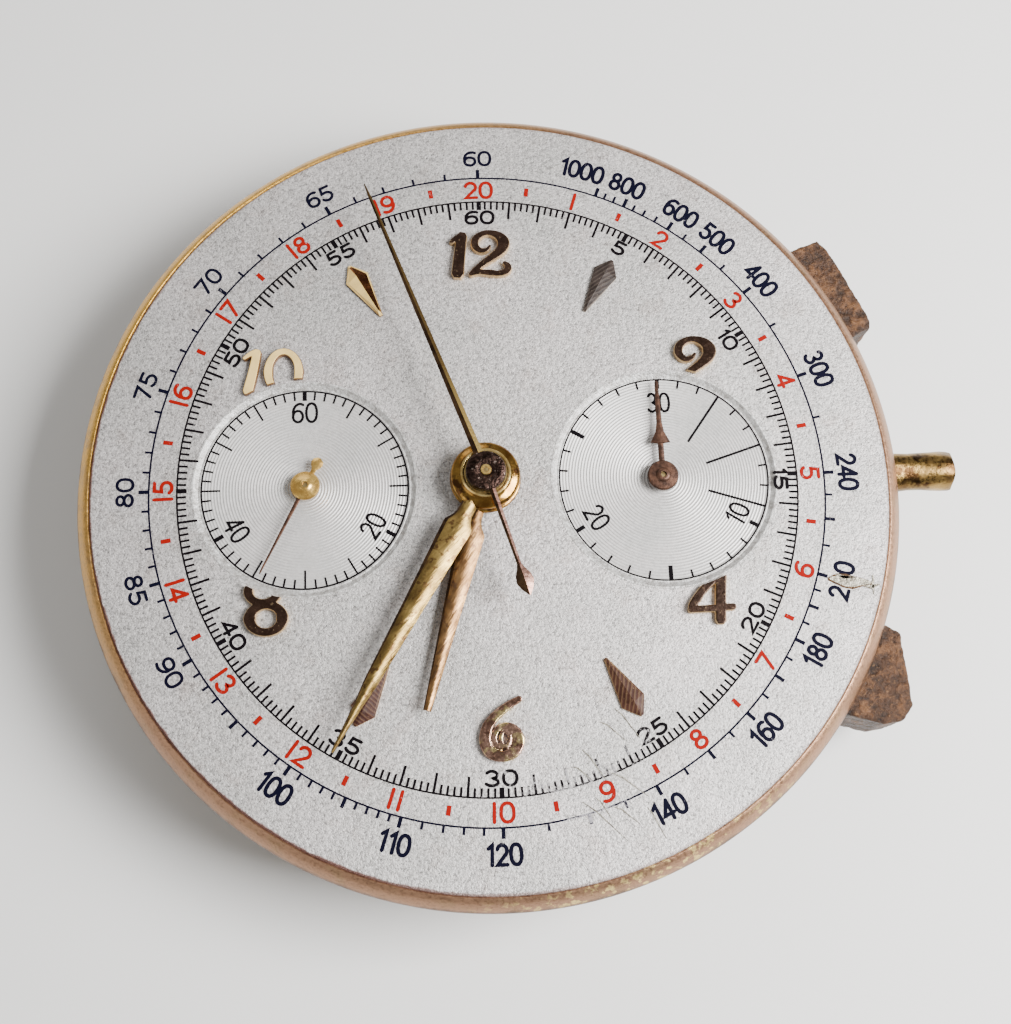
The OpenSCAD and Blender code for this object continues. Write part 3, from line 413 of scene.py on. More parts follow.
def stamp_mat(name, top, side, hatch=None):
    """Tarnished on its face, bright on its walls."""
    n = Nodes(name)
    big = n.noise(1.8, 4.0, 0.65)
    fine = n.noise(8.0, 3.0, 0.7)
    face = n.mix(n.span(big, 0.40, 0.64, 0, 1), top, [c * 1.8 + 0.004 for c in top])
    face = n.mix(n.span(fine, 0.64, 0.72, 0, 0.4), face, side)
    h = fine
    if hatch is not None:
        w = n.t.nodes.new("ShaderNodeTexWave")
        w.inputs["Scale"].default_value = 1.9 / MM
        w.inputs["Distortion"].default_value = 2.0
        n.link(n.stretched(hatch, 1.0, 1.0), w.inputs["Vector"])
        face = n.mix(n.span(w.outputs["Fac"], 0.5, 0.95, 0, 0.10), face, side)
        h = n.math("ADD", fine, n.math("MULTIPLY", w.outputs["Fac"], 0.35))
    col = n.mix(n.facing_up(0.55, 0.88), side, face)
    if hatch is not None:
        return n.out(col, n.span(fine, 0.3, 0.7, 0.40, 0.60), 0.0, n.bump(h, 0.6, 0.02), Specular_IOR_Level=0.15)
    return n.out(col, n.span(fine, 0.3, 0.7, 0.20, 0.40), 0.7, n.bump(h, 0.45, 0.02))


def gilt_face_mat(name, face, side):
    """Bright gold faces with brown walls; the brown on the walls is painted shade."""
    n = Nodes(name)
    big, fine = n.noise(1.3, 4.0), n.noise(8.0, 3.0, 0.6)
    top = n.mix(n.span(big, 0.42, 0.66, 0, 1), face, [c * 0.80 for c in face])
    col = n.mix(n.facing_up(0.82, 0.97), side, top)
    return n.out(col, n.span(fine, 0.3, 0.7, 0.28, 0.42), 0.3, n.bump(fine, 0.15, 0.006))


def sweep_mat():
    """Gold near the hub, dark brown further out."""
    n = Nodes("gilt_sweep_hand")
    fine = n.noise(7.0, 4.0, 0.65)
    # colour runs from gold within 2.2 mm of the hub to dark brown past 5.2 mm, with noise on the boundary
    worn = n.math("ADD", n.radius(0, 0), n.span(fine, 0.3, 0.7, -1.2, 1.2))
    col = n.mix(n.span(worn, 2.2, 5.2, 0, 0.85), (0.86, 0.60, 0.20), (0.13, 0.070, 0.028))
    return n.out(col, n.span(fine, 0.3, 0.7, 0.16, 0.34), 0.95, n.bump(fine, 0.3, 0.01))


def register_mat(name):
    n = Nodes(name)
    grain = n.noise(9.0, 3.0, 0.7)
    cloud = n.noise(0.5, 4.0, 0.6)
    base = n.mix(n.span(cloud, 0.4, 0.65, 0, 1), (0.57, 0.555, 0.535), (0.62, 0.59, 0.57))
    base = n.mix(0.5, base, n.ramp(grain, [(0.28, 0.72), (0.55, 0.95), (0.72, 1.0)]), "MULTIPLY")
    return n.out(base, n.span(grain, 0.3, 0.7, 0.38, 0.55), 0.45, n.bump(grain, 0.3, 0.008))


def print_mat(name, colour, worn, amount, fade=None):
    n = Nodes(name)
    wear = n.noise(2.2, 5.0, 0.7)
    fine = n.noise(13.0, 2.0, 0.7)
    both = n.math("ADD", wear, n.math("MULTIPLY", fine, 0.45))
    if fade:
        x, y, r = fade
        both = n.math("ADD", both, n.span(n.radius(x, y), 0, r, 0.30, 0))
    col = n.mix(n.span(both, 0.98 - amount, 1.10 - amount, 0, 0.85), colour, worn)
    return n.out(col, 0.6, 0.0, n.bump(fine, 0.3, 0.006), Specular_IOR_Level=0.05)


def rust_mat(name):
    n = Nodes(name)
    big = n.noise(1.4, 5.0, 0.65)
    fine = n.noise(6.5, 5.0, 0.7)
    pit = n.cells(3.4)
    col = n.ramp(big, [(0.32, (0.016, 0.008, 0.004)), (0.5, (0.060, 0.026, 0.011)), (0.66, (0.16, 0.070, 0.026))])
    col = n.mix(n.span(fine, 0.57, 0.70, 0, 0.6), col, (0.30, 0.155, 0.065))
    col = n.mix(n.span(fine, 0.32, 0.45, 0.9, 0), col, (0.007, 0.004, 0.003))
    h = n.math("ADD", n.math("MULTIPLY", big, 1.4), n.math("ADD", fine, n.math("MULTIPLY", pit, 0.5)))
    return n.out(col, n.span(fine, 0.3, 0.7, 0.32, 0.65), 0.35, n.bump(h, 1.0, 0.10))


def ruby_mat():
    n = Nodes("ruby")
    s = n.noise(3.0, 2.0)
    col = n.mix(n.span(s, 0.4, 0.6, 0, 1), (0.42, 0.012, 0.06), (0.62, 0.03, 0.11))
    return n.out(col, n.span(s, 0.4, 0.6, 0.08, 0.16), 0.0, Coat_Weight=0.6)


M = {
    "dial": dial_mat(),
    "register": register_mat("silvered_register"),
    "bevel": metal_mat("register_bevel", (0.66, 0.65, 0.63), (0.36, 0.34, 0.32), (0.35, 0.55), 4.5, 9.0, 0.9,
                       0.05, metal=0.45),
    "rim": rim_mat(),
    "hand": metal_mat("worn_gilt_hand", (0.50, 0.34, 0.11), (0.20, 0.125, 0.04), (0.30, 0.48), 1.6, 9.0, 0.8,
                      0.03, 228,
                      spots=(0.42, (0.16, 0.09, 0.035), 3.2)),
    "hour": metal_mat("worn_gilt_hour_hand", (0.46, 0.26, 0.11), (0.20, 0.105, 0.045), (0.30, 0.50), 1.6, 9.0,
                      0.8, 0.03, 215,
                      spots=(0.40, (0.20, 0.11, 0.06), 3.0)),
    "sweep": sweep_mat(),
    "leaf": metal_mat("tinned_leaf", (0.44, 0.25, 0.19), (0.20, 0.10, 0.075), (0.26, 0.46), 2.6, 9.0, 0.6, 0.02),
    "boss": metal_mat("gilt_boss", (0.60, 0.35, 0.085), (0.24, 0.11, 0.025), (0.10, 0.24), 1.5, 9.0, 0.4, 0.015,
                      spots=(0.40, (0.12, 0.055, 0.02), 1.6)),
    "arbor": metal_mat("dark_arbor", (0.085, 0.050, 0.040), (0.018, 0.010, 0.008), (0.16, 0.42), 3.4, 8.0, 0.9, 0.04,
                       spots=(0.33, (0.34, 0.26, 0.22), 4.5)),
    "brown": metal_mat("oxidised_hand", (0.13, 0.062, 0.038), (0.045, 0.022, 0.015), (0.3, 0.5), 3.0, 9.0, 0.5,
                       0.015, metal=0.7),
    "gold": metal_mat("bright_gold", (0.84, 0.54, 0.15), (0.58, 0.33, 0.08), (0.18, 0.34), 2.6, 9.0, 0.15, 0.006,
                      metal=0.85),
    "stamp": stamp_mat("tarnished_gold", (0.024, 0.011, 0.006), (0.60, 0.42, 0.22)),
    "six": metal_mat("coppery_gold", (0.62, 0.38, 0.28), (0.22, 0.115, 0.08), (0.14, 0.30), 2.4, 8.0, 0.6, 0.02,
                     spots=(0.44, (0.76, 0.58, 0.27), 1.6)),
    "dart_1": stamp_mat("tarnished_dart_1", (0.018, 0.012, 0.010), (0.30, 0.25, 0.20), 60),
    "dart_5": stamp_mat("tarnished_dart_5", (0.028, 0.010, 0.006), (0.50, 0.32, 0.15), 190),
    "dart_7": stamp_mat("tarnished_dart_7", (0.028, 0.009, 0.006), (0.46, 0.28, 0.14), 130),
    "dart_11": gilt_face_mat("gilt_dart", (1.0, 0.70, 0.24), (0.22, 0.11, 0.04)),
    # dark brown for dart 11's right facets: painted shade
    "dart_brown": metal_mat("painted_shade_facet", (0.20, 0.075, 0.03), (0.07, 0.024, 0.012), (0.20, 0.36), 1.8, 9.0, 0.5,
                            0.02),
    "ten": gilt_face_mat("polished_gold", (1.0, 0.70, 0.25), (0.16, 0.075, 0.025)),
    "collet": metal_mat("bright_collet", (0.98, 0.74, 0.32), (0.62, 0.40, 0.12), (0.14, 0.26), 2.2, 9.0, 0.2,
                        0.008, metal=0.9),
    # dark metal for the painted shade on the hands' dark flanks; it also draws the dark outline round the gouge
    "shade": metal_mat("dark_flank", (0.12, 0.065, 0.03), (0.035, 0.018, 0.010), (0.22, 0.4), 2.2, 9.0, 0.4, 0.01,
                       metal=0.85),
    "scar": metal_mat("bare_metal", (0.44, 0.41, 0.33), (0.13, 0.11, 0.08), (0.2, 0.4), 3.0, 7.0, 0.7, 0.03,
                      metal=0.6),
    "rust": rust_mat("rusted_steel"),
    "sleeve": metal_mat("worn_brass_sleeve", (0.42, 0.27, 0.085), (0.14, 0.08, 0.028), (0.22, 0.42), 1.0, 8.0,
                        0.5, 0.03,
                        spots=(0.42, (0.06, 0.03, 0.012), 1.2)),
    "plate": metal_mat("gilt_plate", (0.58, 0.42, 0.20), (0.42, 0.29, 0.13), (0.30, 0.46), 0.5, 12.0, 0.5, 0.015,
                       spots=(0.30, (0.36, 0.25, 0.13), 0.6)),
    "bridge": metal_mat("gilt_bridge", (0.68, 0.53, 0.30), (0.56, 0.42, 0.22), (0.24, 0.42), 0.5, 8.0, 0.35, 0.01, 35,
                        spots=(0.28, (0.40, 0.28, 0.15), 0.6)),
    "brass": metal_mat("wheel_brass", (0.70, 0.53, 0.25), (0.58, 0.42, 0.18), (0.22, 0.38), 0.7, 9.0, 0.25, 0.008),
    "steel": metal_mat("brushed_steel", (0.50, 0.50, 0.51), (0.36, 0.35, 0.35), (0.24, 0.4), 0.8, 9.0, 0.3, 0.008, 60,
                       spots=(0.26, (0.24, 0.16, 0.11), 1.0)),
    "blued": metal_mat("blued_steel", (0.06, 0.09, 0.27), (0.03, 0.045, 0.16), (0.16, 0.3), 1.0, 9.0, 0.2, 0.005),
    "ruby": ruby_mat(),
    "ink": print_mat("blue_black_print", (0.002, 0.002, 0.010), (0.40, 0.38, 0.40), 0.08, (PX + 3.6, -13.9, 2.6)),
    "ink2": print_mat("black_print", (0.003, 0.002, 0.003), (0.42, 0.40, 0.40), 0.06, (PX + 2.9, -12.4, 4.8)),
    "red": print_mat("red_print", (0.25, 0.006, 0.003), (0.50, 0.33, 0.28), 0.10),
}

NODE_MAT = {
    "dial": "dial", "main_plate": "plate", "applied_numerals": "stamp", "stem_sleeve": "sleeve",
    "hour_hand": "hour", "minute_hand": "hand", "chronograph_seconds_hand": "sweep", "sub_seconds_hand": "gold",
    "recorder_hand": "brown", "operating_lever": "rust", "reset_lever": "rust", "jewels": "ruby", "pallet_stones": "ruby",
    "plate_screws": "blued", "shoulder_screws": "blued", "hairspring": "blued",
}
for n in ("barrel_bridge", "train_bridge", "pallet_cock", "balance_cock", "chronograph_bridge"):
    NODE_MAT[n] = "bridge"
for n in ("barrel_drum", "barrel_cover", "intermediate_setting_wheel", "minute_wheel", "hour_wheel", "centre_wheel",
          "third_wheel", "fourth_wheel", "driving_wheel", "balance_wheel", "chronograph_runner",
          "minute_recorder_wheel", "transmission_wheel", "coupling_wheel"):
    NODE_MAT[n] = "brass"
for name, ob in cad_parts.items():
    ob.data.materials.clear()
    ob.data.materials.append(M[NODE_MAT.get(name, "steel")])

# ---- dial: rim, registers, bevels ----
R0 = DIAL_R
lathe("dial_rim", [(R0 - 0.74, DIAL_T - 0.20), (R0 - 0.655, DIAL_T - 0.16), (R0 - 0.63, DIAL_T - 0.09),
                   (R0 - 0.58, DIAL_T - 0.04),
                   (R0 - 0.48, DIAL_T - 0.08), (R0 - 0.30, DIAL_T - 0.27), (R0 - 0.13, DIAL_T - 0.49),
                   (R0 - 0.03, DIAL_T - 0.66),
                   (R0 + 0.01, DIAL_T - 0.80), (R0 + 0.012, -0.60), (R0 - 0.05, -0.635), (R0 - 0.30, -0.635),
                   (R0 - 0.74, -0.30)], (DX, 0), "movement", M["rim"], 400, 50)


def register(tag, c, rec_r, inner):
    """Turned grooves on a register's floor, and the bevel round it."""
    prof = [(inner, REC_Z - 0.03), (inner, REC_Z + 0.016)]
    r = inner + 0.06
    while r < rec_r - 0.30:
        prof += [(r, REC_Z + 0.020), (r + 0.040, REC_Z + 0.004), (r + 0.066, REC_Z + 0.004)]
        r += 0.126
    prof += [(rec_r - 0.24, REC_Z + 0.016), (rec_r - 0.24, REC_Z - 0.03)]
    lathe("register_face_" + tag, prof, c, "movement", M["register"], 160, 3)
    lathe("register_bevel_" + tag, [(rec_r - 0.25, REC_Z - 0.02), (rec_r - 0.245, REC_Z + 0.030),
                                    (rec_r - 0.20, REC_Z + 0.034),
                                    (rec_r - 0.17, REC_Z + 0.016), (rec_r - 0.10, REC_Z + 0.05),
                                    (rec_r - 0.02, DIAL_T - 0.02),
                                    (rec_r + 0.03, DIAL_T + 0.012), (rec_r + 0.10, DIAL_T + 0.014),
                                    (rec_r + 0.13, DIAL_T - 0.02)], c, "movement", M["bevel"], 160, 25)


register("9", SUB9, 4.60, 0.42)
register("3", SUB3, 4.70, 0.42)


# ---- printed scales ----
def oval(cx, cy, rx, ry, a0, a1, n=16, p=2.3):
    pts = []
    for i in range(n + 1):
        a = math.radians(a0 + (a1 - a0) * i / n)
        c, s = math.cos(a), math.sin(a)
        pts.append((cx + rx * math.copysign(abs(c) ** (2 / p), c), cy + ry * math.copysign(abs(s) ** (2 / p), s)))
    return pts


SIX = [oval(0.42, 0.50, 0.38, 0.47, 62, 186, 8, 2.0), oval(0.31, 0.31, 0.27, 0.29, 180, 540, 22, 2.1)]
GLYPH = {
    "0": [oval(0.31, 0.5, 0.29, 0.48, 90, 450, 28, 2.3)],
    "1": [[(0.08, 0.80), (0.27, 0.98), (0.27, 0.02)]],
    "2": [oval(0.30, 0.70, 0.26, 0.28, 165, -30, 12, 2.0) + [(0.05, 0.03), (0.58, 0.03)]],
    "3": [oval(0.27, 0.74, 0.24, 0.24, 150, -75, 10, 2.0) + oval(0.27, 0.26, 0.28, 0.24, 75, -150, 12, 2.0)],
    "4": [[(0.45, 0.02), (0.45, 0.97)], [(0.45, 0.97), (0.03, 0.28), (0.60, 0.28)]],
    "5": [[(0.53, 0.97), (0.13, 0.97), (0.09, 0.57)] + oval(0.28, 0.31, 0.28, 0.29, 115, -150, 14, 2.0)],
    "6": SIX,
    "7": [[(0.03, 0.97), (0.57, 0.97), (0.22, 0.02)]],
    "8": [oval(0.30, 0.75, 0.22, 0.22, -90, 270, 18, 2.0), oval(0.30, 0.27, 0.27, 0.25, 90, 450, 20, 2.0)],
    "9": [[(0.62 - x, 1 - y) for x, y in part] for part in SIX],
    " ": [],
}


def text(solid, word, c, r, ang, h, w, z0, z1, tops="out", wide=1.0, plain=False):
    """Digits centred at a clock angle, tops outward, inward or upright."""
    adv = [(0.42 * h + 0.05 if ch == "1" else 0.76 * wide * h) for ch in word]
    x = -sum(adv) / 2
    for place, (ch, a) in enumerate(zip(word, adv)):
        mid = x + a / 2
        if tops == "up":
            base = (c[0] + r * math.sin(math.radians(ang)) + mid, c[1] + r * math.cos(math.radians(ang)))
            up, right = Vector((0, 1)), Vector((1, 0))
        else:
            sign = 1 if tops == "out" else -1
            g = math.radians(ang) + sign * mid / r
            out = Vector((math.sin(g), math.cos(g)))
            base = (c[0] + out.x * r, c[1] + out.y * r)
            up = out * sign
            right = Vector((up.y, -up.x))
        if ch == "1":
            gw, k = 0.36, 1.0
            strokes = [[(0.18, 0.98), (0.18, 0.02)]] if plain else GLYPH[ch]
        else:
            gw, k = 0.62, wide
            strokes = GLYPH[ch]
        for level, stroke in enumerate(strokes):
            loop = (Vector(stroke[0]) - Vector(stroke[-1])).length < 1e-4
            pts = [Vector(base) + right * ((px - gw / 2) * k * h) + up * ((py - 0.5) * h)
                   for px, py in (stroke[:-1] if loop else stroke)]
            solid.ribbon(pts, w, z0, z1 + 0.002 * level + 0.0007 * place, closed=loop)
        x += a


ZP = (DIAL_T - 0.012, DIAL_T + 0.010)
C0 = (PX, 0)
tach = Solid()
TR = 13.07 * UNIT
tach.circle(C0, TR, 0.075, *ZP, n=540)
LABELS = (60, 65, 70, 75, 80, 85, 90, 100, 110, 120, 140, 160, 180, 200, 240, 300, 400, 500, 600, 800, 1000)
STEPS = list(range(61, 110)) + list(range(112, 120, 2)) + list(range(125, 200, 5)) + [210, 220, 230, 270, 350, 450,
                                                                                     550, 650, 700, 750, 865, 930]
for value in STEPS:
    if value not in LABELS:
        five = value in (95, 105, 130, 150, 170, 190, 220)
        tach.tick(C0, 21600 / value, TR, TR + (0.42 if five else 0.30), 0.14 if five else 0.10, *ZP)
for value in LABELS:
    a = 21600 / value
    tach.tick(C0, a, TR - 0.02, TR + 0.42, 0.15, *ZP)
    off = {1000: -3.6, 800: -0.9, 600: 0.3, 500: 0.6}.get(value, 0)
    tops_o = "out" if value > 230 or value < 82 else "in"
    small = value < 95
    text(tach, "2 0" if value == 200 else str(value), C0, (13.98 if small else 14.02) * UNIT, a + off,
         0.68 if small else 0.80, 0.125 if small else 0.155,
         *ZP, tops=tops_o, wide=1.28 if small else 0.90)
add_object("print_tachymeter", tach.v, tach.f, "movement", M["ink"], smooth=False)

red = Solid()
for k in range(20):
    a = 18 * k
    text(red, str(k if k else 20), C0, 12.53 * UNIT, a, 0.76, 0.145, *ZP, tops="in" if 6 <= k <= 14 else "out",
         wide=1.15, plain=True)
    red.tick(C0, a + 9, 12.35 * UNIT, 12.72 * UNIT, 0.18, *ZP)
add_object("print_red_scale", red.v, red.f, "movement", M["red"], smooth=False)

track = Solid()
track.circle(C0, TRACK_R, 0.07, *ZP, n=540)
for k in range(300):
    a = 1.2 * k
    if k % 25 == 0:
        track.tick(C0, a, TRACK_R - 0.40, TRACK_R + 0.02, 0.19, *ZP)
    elif k % 5 == 0:
        track.tick(C0, a, TRACK_R - 0.80, TRACK_R, 0.10, *ZP)
    else:
        track.tick(C0, a, TRACK_R - 0.38, TRACK_R, 0.09, *ZP)
for k in range(12):
    if k == 3:
        text(track, "15", C0, 11.36 * UNIT, 91.2, 0.54, 0.13, ZP[0], DIAL_T + 0.026, wide=1.8)
    elif k != 9:
        text(track, str(5 * k if k else 60), C0, 11.30 * UNIT, 30 * k, 0.59, 0.13, *ZP,
             tops="in" if 4 <= k <= 8 else "out", wide=1.55)
add_object("print_minute_track", track.v, track.f, "movement", M["ink2"], smooth=False)

ZR = (REC_Z - 0.005, REC_Z + 0.026)
sub9 = Solid()
sub9.circle(SUB9, 4.30, 0.07, *ZR, n=200)
for k in range(60):
    if k % 20 == 0:
        sub9.tick(SUB9, 6 * k, 4.30 - 0.42, 4.31, 0.17, *ZR)
    else:
        sub9.tick(SUB9, 6 * k, 4.30 - (0.78 if k % 5 == 0 else 0.38), 4.30, 0.075, *ZR)
text(sub9, "60", SUB9, 3.35, 0, 0.86, 0.105, *ZR, tops="up", wide=0.88)
text(sub9, "20", SUB9, 3.28, 121, 0.84, 0.105, *ZR, tops="in", wide=0.80)
text(sub9, "40", SUB9, 3.28, 239, 0.84, 0.105, *ZR, tops="in", wide=0.80)
add_object("print_seconds_register", sub9.v, sub9.f, "movement", M["ink2"], smooth=False)

sub3 = Solid()
sub3.circle(SUB3, 4.42, 0.07, *ZR, n=200)
for k in range(30):
    if k in (3, 6, 9):
        sub3.tick(SUB3, 12 * k, 1.95, 4.42, 0.095, *ZR)
    elif k in (0, 10, 15, 20, 25):
        sub3.tick(SUB3, 12 * k, 4.42 - (0.62 if k in (15, 25) else 0.40), 4.43, 0.17, *ZR)
    else:
        sub3.tick(SUB3, 12 * k, 4.42 - 0.34, 4.42, 0.08, *ZR)
text(sub3, "30", SUB3, 3.38, 0, 0.84, 0.105, *ZR, tops="up", wide=0.80)
text(sub3, "10", SUB3, 3.42, 119, 0.84, 0.105, *ZR, tops="in", wide=0.85)
text(sub3, "20", SUB3, 3.36, 241, 0.84, 0.105, *ZR, tops="in", wide=0.80)
add_object("print_minute_register", sub3.v, sub3.f, "movement", M["ink2"], smooth=False)


# ---- applied numerals and darts ----
def smooth_path(pts, n=6):
    """Catmull-Rom through (x, y, width) points."""
    out = []
    for i in range(len(pts) - 1):
        p = [pts[max(i - 1, 0)], pts[i], pts[i + 1], pts[min(i + 2, len(pts) - 1)]]
        for k in range(n):
            t = k / n
            q = []
            for a, b, c, d in zip(*p):
                q.append(0.5 * (2 * b + (c - a) * t + (2 * a - 5 * b + 4 * c - d) * t * t + (3 * b - a - 3 * c + d) * t ** 3))
            out.append(tuple(q))
    out.append(pts[-1])
    return out


def sweep(v, f, pts, c, h, z0, top, closed=False, curve=True):
    """A stamped stroke with chamfered edges; points are (x, y, width) for a digit of height 1."""
    path = smooth_path(pts) if curve else pts
    prof = [(-1, 0), (-1, 0.82), (-0.84, 1), (0.84, 1), (1, 0.82), (1, 0)]
    base = len(v)
    m = len(path)
    ext = []
    for i, (x, y, w) in enumerate(path):
        a = path[i - 1] if i else path[i]
        b = path[i + 1] if i < m - 1 else path[i]
        t = Vector((b[0] - a[0], b[1] - a[1])).normalized()
        ext.append((x, y, w, t))
    if not closed:
        x, y, w, t = ext[0]
        ext.insert(0, (x - t.x * w * 0.32, y - t.y * w * 0.32, w * 0.55, t))
        x, y, w, t = ext[-1]
        ext.append((x + t.x * w * 0.32, y + t.y * w * 0.32, w * 0.55, t))
    m = len(ext)
    for x, y, w, t in ext:
        nrm = Vector((t.y, -t.x))
        for u, q in prof:
            v.append((c[0] + (x + nrm.x * u * w / 2) * h, c[1] + (y + nrm.y * u * w / 2) * h, z0 + q * top))
    k = len(prof)
    for i in range(m - 1):
        for j in range(k):
            a, b = base + i * k + j, base + i * k + (j + 1) % k
            f.append((b, a, a + k, b + k))
    f.append(tuple(base + j for j in range(k)))
    f.append(tuple(reversed([base + (m - 1) * k + j for j in range(k)])))


def ring_path(cx, cy, rx, ry, ws, a0=0, a1=360, n=24):
    out = []
    for i in range(n + 1):
        a = math.radians(a0 + (a1 - a0) * i / n)
        w = ws[0] + (ws[1] - ws[0]) * abs(math.sin(a))
        out.append((cx + rx * math.cos(a), cy + ry * math.sin(a), w))
    return out


TWO = [(0.03, 0.17, 0.06), (-0.04, 0.085, 0.09), (-0.17, 0.075, 0.13), (-0.27, 0.19, 0.16), (-0.24, 0.34, 0.16),
       (-0.10, 0.44, 0.13),
       (0.05, 0.455, 0.13), (0.22, 0.38, 0.20), (0.30, 0.25, 0.26), (0.26, 0.10, 0.23),
       (0.10, -0.05, 0.17), (-0.10, -0.19, 0.14),
       (-0.30, -0.36, 0.11), (-0.38, -0.44, 0.08)]
TWO_BASE = [(-0.38, -0.44, 0.09), (-0.20, -0.395, 0.11), (0.0, -0.41, 0.14), (0.2, -0.43, 0.13), (0.35, -0.37, 0.16),
            (0.37, -0.27, 0.14), (0.30, -0.20, 0.08)]
ONE = [[(0.08, 0.42, 0.22), (0.02, 0.0, 0.24), (-0.03, -0.42, 0.26)],
       [(0.08, 0.45, 0.09), (-0.04, 0.36, 0.12), (-0.14, 0.28, 0.09)]]
ONE_SLANT = [[(0.13, 0.42, 0.19), (0.05, 0.0, 0.21), (-0.05, -0.42, 0.23)],
             [(0.12, 0.45, 0.10), (-0.01, 0.38, 0.11), (-0.13, 0.29, 0.08)]]
STAMPED = {
    "1": ONE,
    "l": ONE_SLANT,
    "2": [TWO, TWO_BASE],
    "c": [TWO],
    "4": [[(0.19, 0.42, 0.21), (0.15, 0.0, 0.21), (0.12, -0.42, 0.21)],
          [(0.12, 0.42, 0.14), (-0.14, 0.18, 0.16), (-0.32, -0.04, 0.17), (-0.40, -0.15, 0.14)],
          [(-0.42, -0.20, 0.13), (-0.05, -0.19, 0.135), (0.38, -0.17, 0.13)]],
    "6": [[(0.31, 0.46, 0.10), (0.13, 0.36, 0.13), (-0.07, 0.21, 0.15), (-0.21, 0.03, 0.17), (-0.25, -0.17, 0.18),
           (-0.18, -0.34, 0.18), (0.0, -0.41, 0.17), (0.18, -0.35, 0.19), (0.26, -0.18, 0.20), (0.20, -0.02, 0.17),
           (0.07, 0.05, 0.11), (-0.05, 0.0, 0.09), (-0.11, -0.12, 0.09), (-0.08, -0.24, 0.09), (0.01, -0.27, 0.08)],
          ring_path(0.06, -0.15, 0.065, 0.115, (0.06, 0.06))],
    "8": [ring_path(0, -0.19, 0.275, 0.235, (0.22, 0.15)), ring_path(-0.05, 0.28, 0.25, 0.20, (0.17, 0.14))],
    "0": [ring_path(0, 0, 0.295, 0.42, (0.19, 0.145))],
}


def stamped(name, digits, mat, cut=None):
    """Applied digits as one clean solid, cut back to a register's edge."""
    v, f = [], []
    for ch, x, y, h in digits:
        for stroke in STAMPED[ch]:
            sweep(v, f, stroke, (PX + x, y), h, DIAL_T - 0.03, 0.29)
    ob = add_object(name, v, f, "movement", mat)
    mod = ob.modifiers.new("fuse", "REMESH")
    mod.mode = "VOXEL"
    mod.voxel_size = 0.024 * MM
    if cut:
        c, r = cut
        cv, cf = [], []
        for i in range(96):
            a = 2 * math.pi * i / 96
            cv += [(c[0] + r * math.cos(a), c[1] + r * math.sin(a), -1),
                   (c[0] + r * math.cos(a), c[1] + r * math.sin(a), 3)]
        for i in range(96):
            j = (i + 1) % 96
            cf.append((2 * i, 2 * j, 2 * j + 1, 2 * i + 1))
        cf += [tuple(2 * i + 1 for i in range(96)), tuple(2 * i for i in reversed(range(96)))]
        me = bpy.data.meshes.new("cutter")
        me.from_pydata([(x * MM, y * MM, z * MM) for x, y, z in cv], [], cf)
        cutter = bpy.data.objects.new("cutter", me)
        bpy.context.scene.collection.objects.link(cutter)
        b = ob.modifiers.new("cut", "BOOLEAN")
        b.operation = "DIFFERENCE"
        b.object = cutter
        b.solver = "EXACT"
    sm = ob.modifiers.new("soften", "SMOOTH")
    sm.factor = 0.4
    sm.iterations = 1
    bpy.context.view_layer.update()
    dg = bpy.context.evaluated_depsgraph_get()
    done = bpy.data.meshes.new_from_object(ob.evaluated_get(dg))
    ob.modifiers.clear()
    ob.data = done
    done.shade_smooth()
    if cut:
        bpy.data.objects.remove(cutter)
    return ob


numbers = [
    stamped("numeral_12", [("1", -0.98, 10.35, 2.2), ("2", 0.34, 10.37, 2.2)], M["stamp"]),
    stamped("numeral_2", [("c", 8.98, 5.05, 2.35)], M["stamp"], (SUB3, 4.88)),
    stamped("numeral_4", [("4", 8.95, -5.30, 2.25)], M["stamp"], (SUB3, 4.88)),
    stamped("numeral_6", [("6", 0.05, -10.33, 2.6)], M["six"]),
    stamped("numeral_8", [("8", -9.27, -5.08, 2.4)], M["stamp"], (SUB9, 4.78)),
    stamped("numeral_10", [("l", -9.98, 5.13, 2.1), ("0", -8.585, 5.09, 2.2)], M["ten"], (SUB9, 4.78)),
]


def dart(h):
    """A roof-shaped marker: chamfered border and two long facets."""
    a = math.radians(30 * h)
    s, k = math.sin(a), math.cos(a)
    out = [(0.07, -1.50), (0.54, 0.55), (0.06, 1.22), (-0.06, 1.22), (-0.54, 0.55), (-0.07, -1.50)]
    v, f = [], []

    def put(x, y, z):
        py = y + 10.3
        v.append((PX + x * k + py * s, -x * s + py * k, z))

    for sc, z in ((1.0, DIAL_T - 0.01), (1.0, DIAL_T + 0.11), (0.84, DIAL_T + 0.14)):
        for x, y in out:
            put(x * sc, 0.1 + (y - 0.1) * (0.5 + sc / 2), z)
    put(0, -1.22, DIAL_T + 0.18)
    put(0, 0.60, DIAL_T + 0.27)
    for r in range(2):
        for i in range(6):
            j = (i + 1) % 6
            f.append((6 * r + j, 6 * r + i, 6 * r + 6 + i, 6 * r + 6 + j))
    lo_, hi_ = 18, 19
    f += [(12, 13, hi_, lo_), (13, 14, hi_), (14, 15, hi_), (15, 16, hi_), (16, 17, lo_, hi_), (17, 12, lo_),
          (0, 1, 2, 3, 4, 5)]
    ob = add_object("dart_%d" % h, v, f, "movement", M["dart_%d" % h], angle=12)
    # painted light and shade on dart 11: its left facets keep the bright gold face colour, while faces 12 to 14, the
    # right facets, take the dark brown facet material
    if h == 11:
        ob.data.materials.append(M["dart_brown"])
        for k in (12, 13, 14):
            ob.data.polygons[k].material_index = 1
    return ob


for h in (1, 5, 7, 11):
    dart(h)
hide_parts("applied_numerals")

